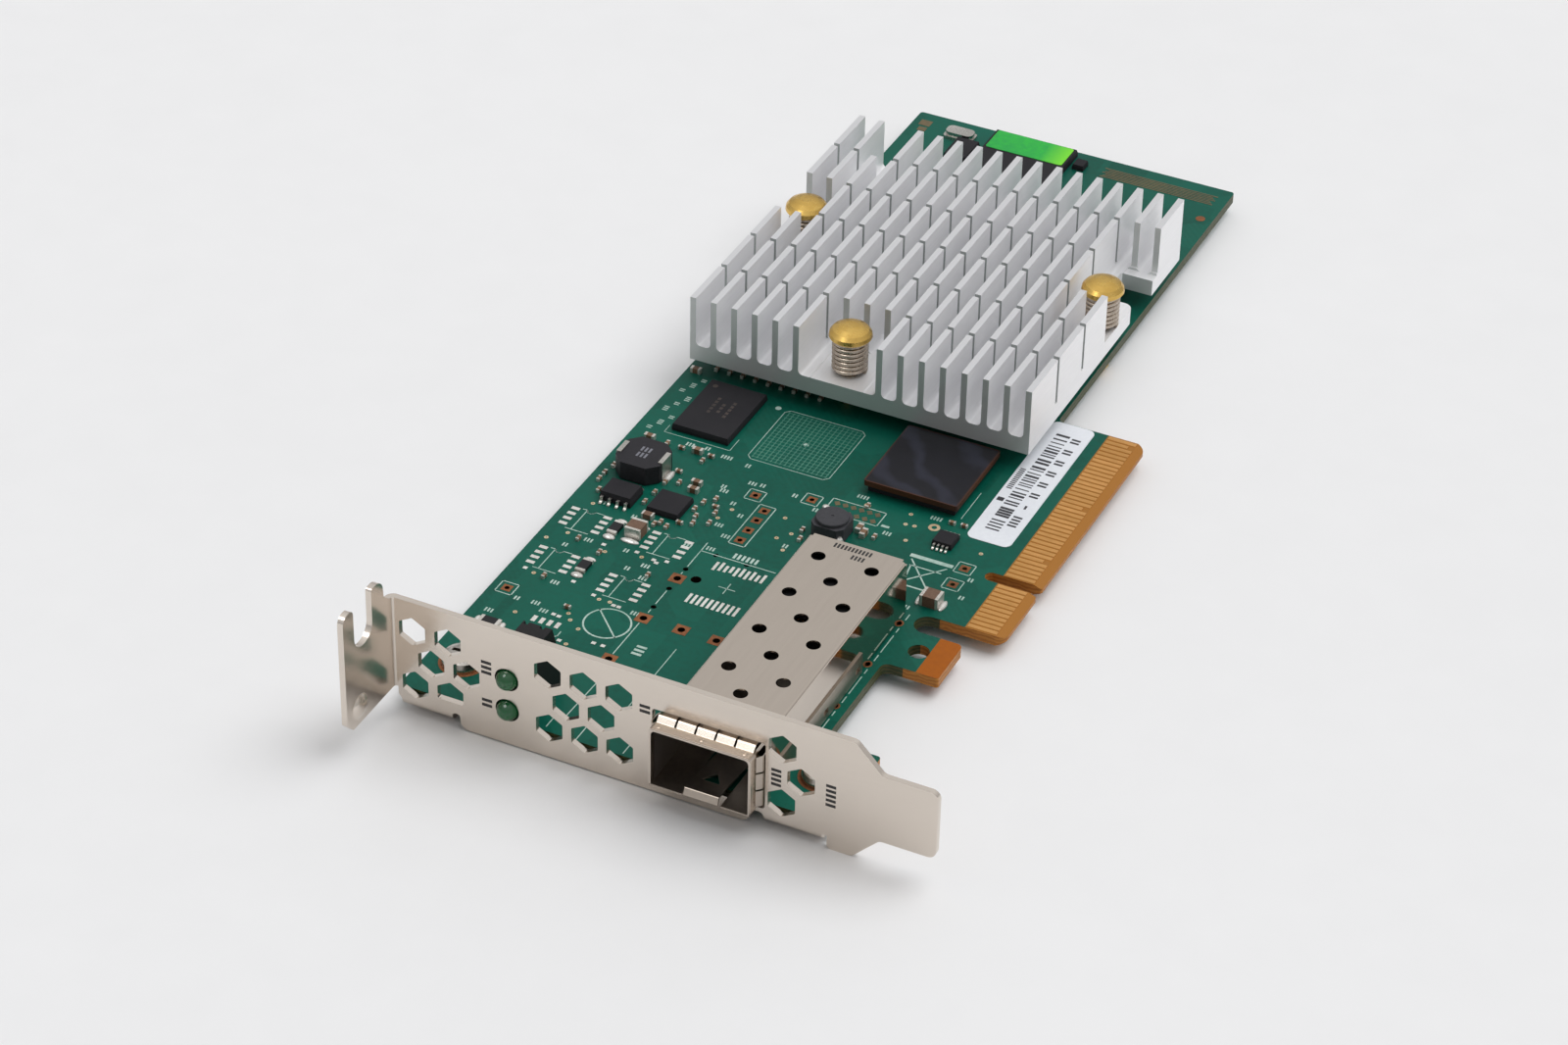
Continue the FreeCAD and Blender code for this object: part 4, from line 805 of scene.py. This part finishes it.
# The small ones are fired from a paler tan body.
tan_ceramic = finish("tan_ceramic", "8C7058", "6A503C", grain=0.25, roughness=(0.4, 0.55), relief=0.003,
                     ior=1.5, sheen_cut=0.5)
dress(tan_ceramic, "chip_capacitors")
# Tin over nickel end caps: bright, soft-edged, dappled by reflow.
tinned_end = finish("tinned_end_cap", "E6E3DD", "C6C1B9", grain=0.3, roughness=(0.25, 0.4), relief=0.004,
                    metallic=0.6)
dress(tinned_end, "bulk_capacitor_ends", "chip_resistor_ends", "chip_capacitor_ends")
# Overglaze on a thick-film resistor: black glass, semi-gloss.
resistor_glaze = finish("resistor_glaze", "1C1B1E", "131215", grain=0.3, roughness=(0.3, 0.42), relief=0.003,
                        ior=1.5, sheen_cut=0.6)
dress(resistor_glaze, "chip_resistors")

# Crystal ------------------------------------------------------------------------------------------
# A timing crystal sealed in a drawn metal can. The can is resistance-welded to its base, and the
# base is soldered to the board.

# Drawn nickel-silver can: bright satin.
drawn_can = finish("drawn_metal_can", "D6D4CF", "BAB7B1", grain=0.3, roughness=(0.2, 0.34), relief=0.003,
                   metallic=1.0)
dress(drawn_can, "crystal_can")

# Labels -------------------------------------------------------------------------------------------
# A white coated-paper label with plain printed bars along the edge connector, and a fluorescent
# sticker on the long chip at the far end.

# Coated paper: smooth matt white, cool.
label_paper = finish("coated_label_paper", "E6E9EE", "DFE2E8", grain=0.6, roughness=(0.5, 0.62),
                     relief=0.001, ior=1.5, sheen_cut=0.5)
dress(label_paper, "board_label")
label_low, label_high = (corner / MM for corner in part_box("board_label"))
bar_x, outer_x, inner_x = label_high.x - 3.9, label_high.x - 1.75, label_high.x - 5.75
draw = random.Random(7)
bars = [rectangle(bar_x, label_low.y + 3.2 + 0.75 * k, 2.1, 0.32) for k in range(4)]
bars += [rectangle(bar_x, label_low.y + 6.7 + 0.62 * k, 2.1, 0.5) for k in range(4)]
along = label_low.y + 9.6
while along < label_high.y - 2.6:
    thick = draw.choice((0.24, 0.34, 0.5))
    bars.append(rectangle(bar_x, along + thick / 2, 2.1, thick))
    along += thick + draw.choice((0.32, 0.45, 0.7))
bars += tally(outer_x, label_low.y + 6.2, 4, 1.35, along=False)
bars += [rectangle(outer_x, label_low.y + 10.0, 0.35, 0.9)]
for k in range(6):
    bars += tally(outer_x, label_low.y + 13.2 + 3.0 * k, 2, 1.35, along=False)
bars += [rectangle(inner_x, label_low.y + 10.4, 1.0, 0.9)]
bars += tally(inner_x, label_low.y + 16.0, 12, 0.85, along=False)
# Thermal-transfer ink: a dry black resin, near matt.
label_ink = finish("thermal_transfer_ink", "3A3A3F", "2A2A2E", grain=0.3, roughness=(0.4, 0.55),
                   relief=0.002)
label_ink_t = 0.01
plates("label_bars", bars, label_high.z, label_high.z + label_ink_t, label_ink)

# Fluorescent paper: a matt vivid green that turns yellower towards one end.
fluorescent = finish("fluorescent_sticker", "34B845", "26A348", grain=0.8, roughness=(0.5, 0.62),
                     relief=0.002, sheen_cut=0.5)
tree = fluorescent.tree
x = node(tree, "SeparateXYZ", {0: fluorescent.place}).outputs[0]
sticker_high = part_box("chip_sticker")[1] / MM
yellow_reach = 4.0
end = node(tree, "MapRange", {"Value": x, "From Min": sticker_high.x - yellow_reach, "From Max": sticker_high.x})
glow = node(tree, "Mix", {0: end.outputs[0], 6: fluorescent.colour, 7: linear("7CDE36")}, data_type="RGBA")
tree.links.new(glow.outputs[2], fluorescent.shader.inputs["Base Color"])
dress(fluorescent, "chip_sticker")
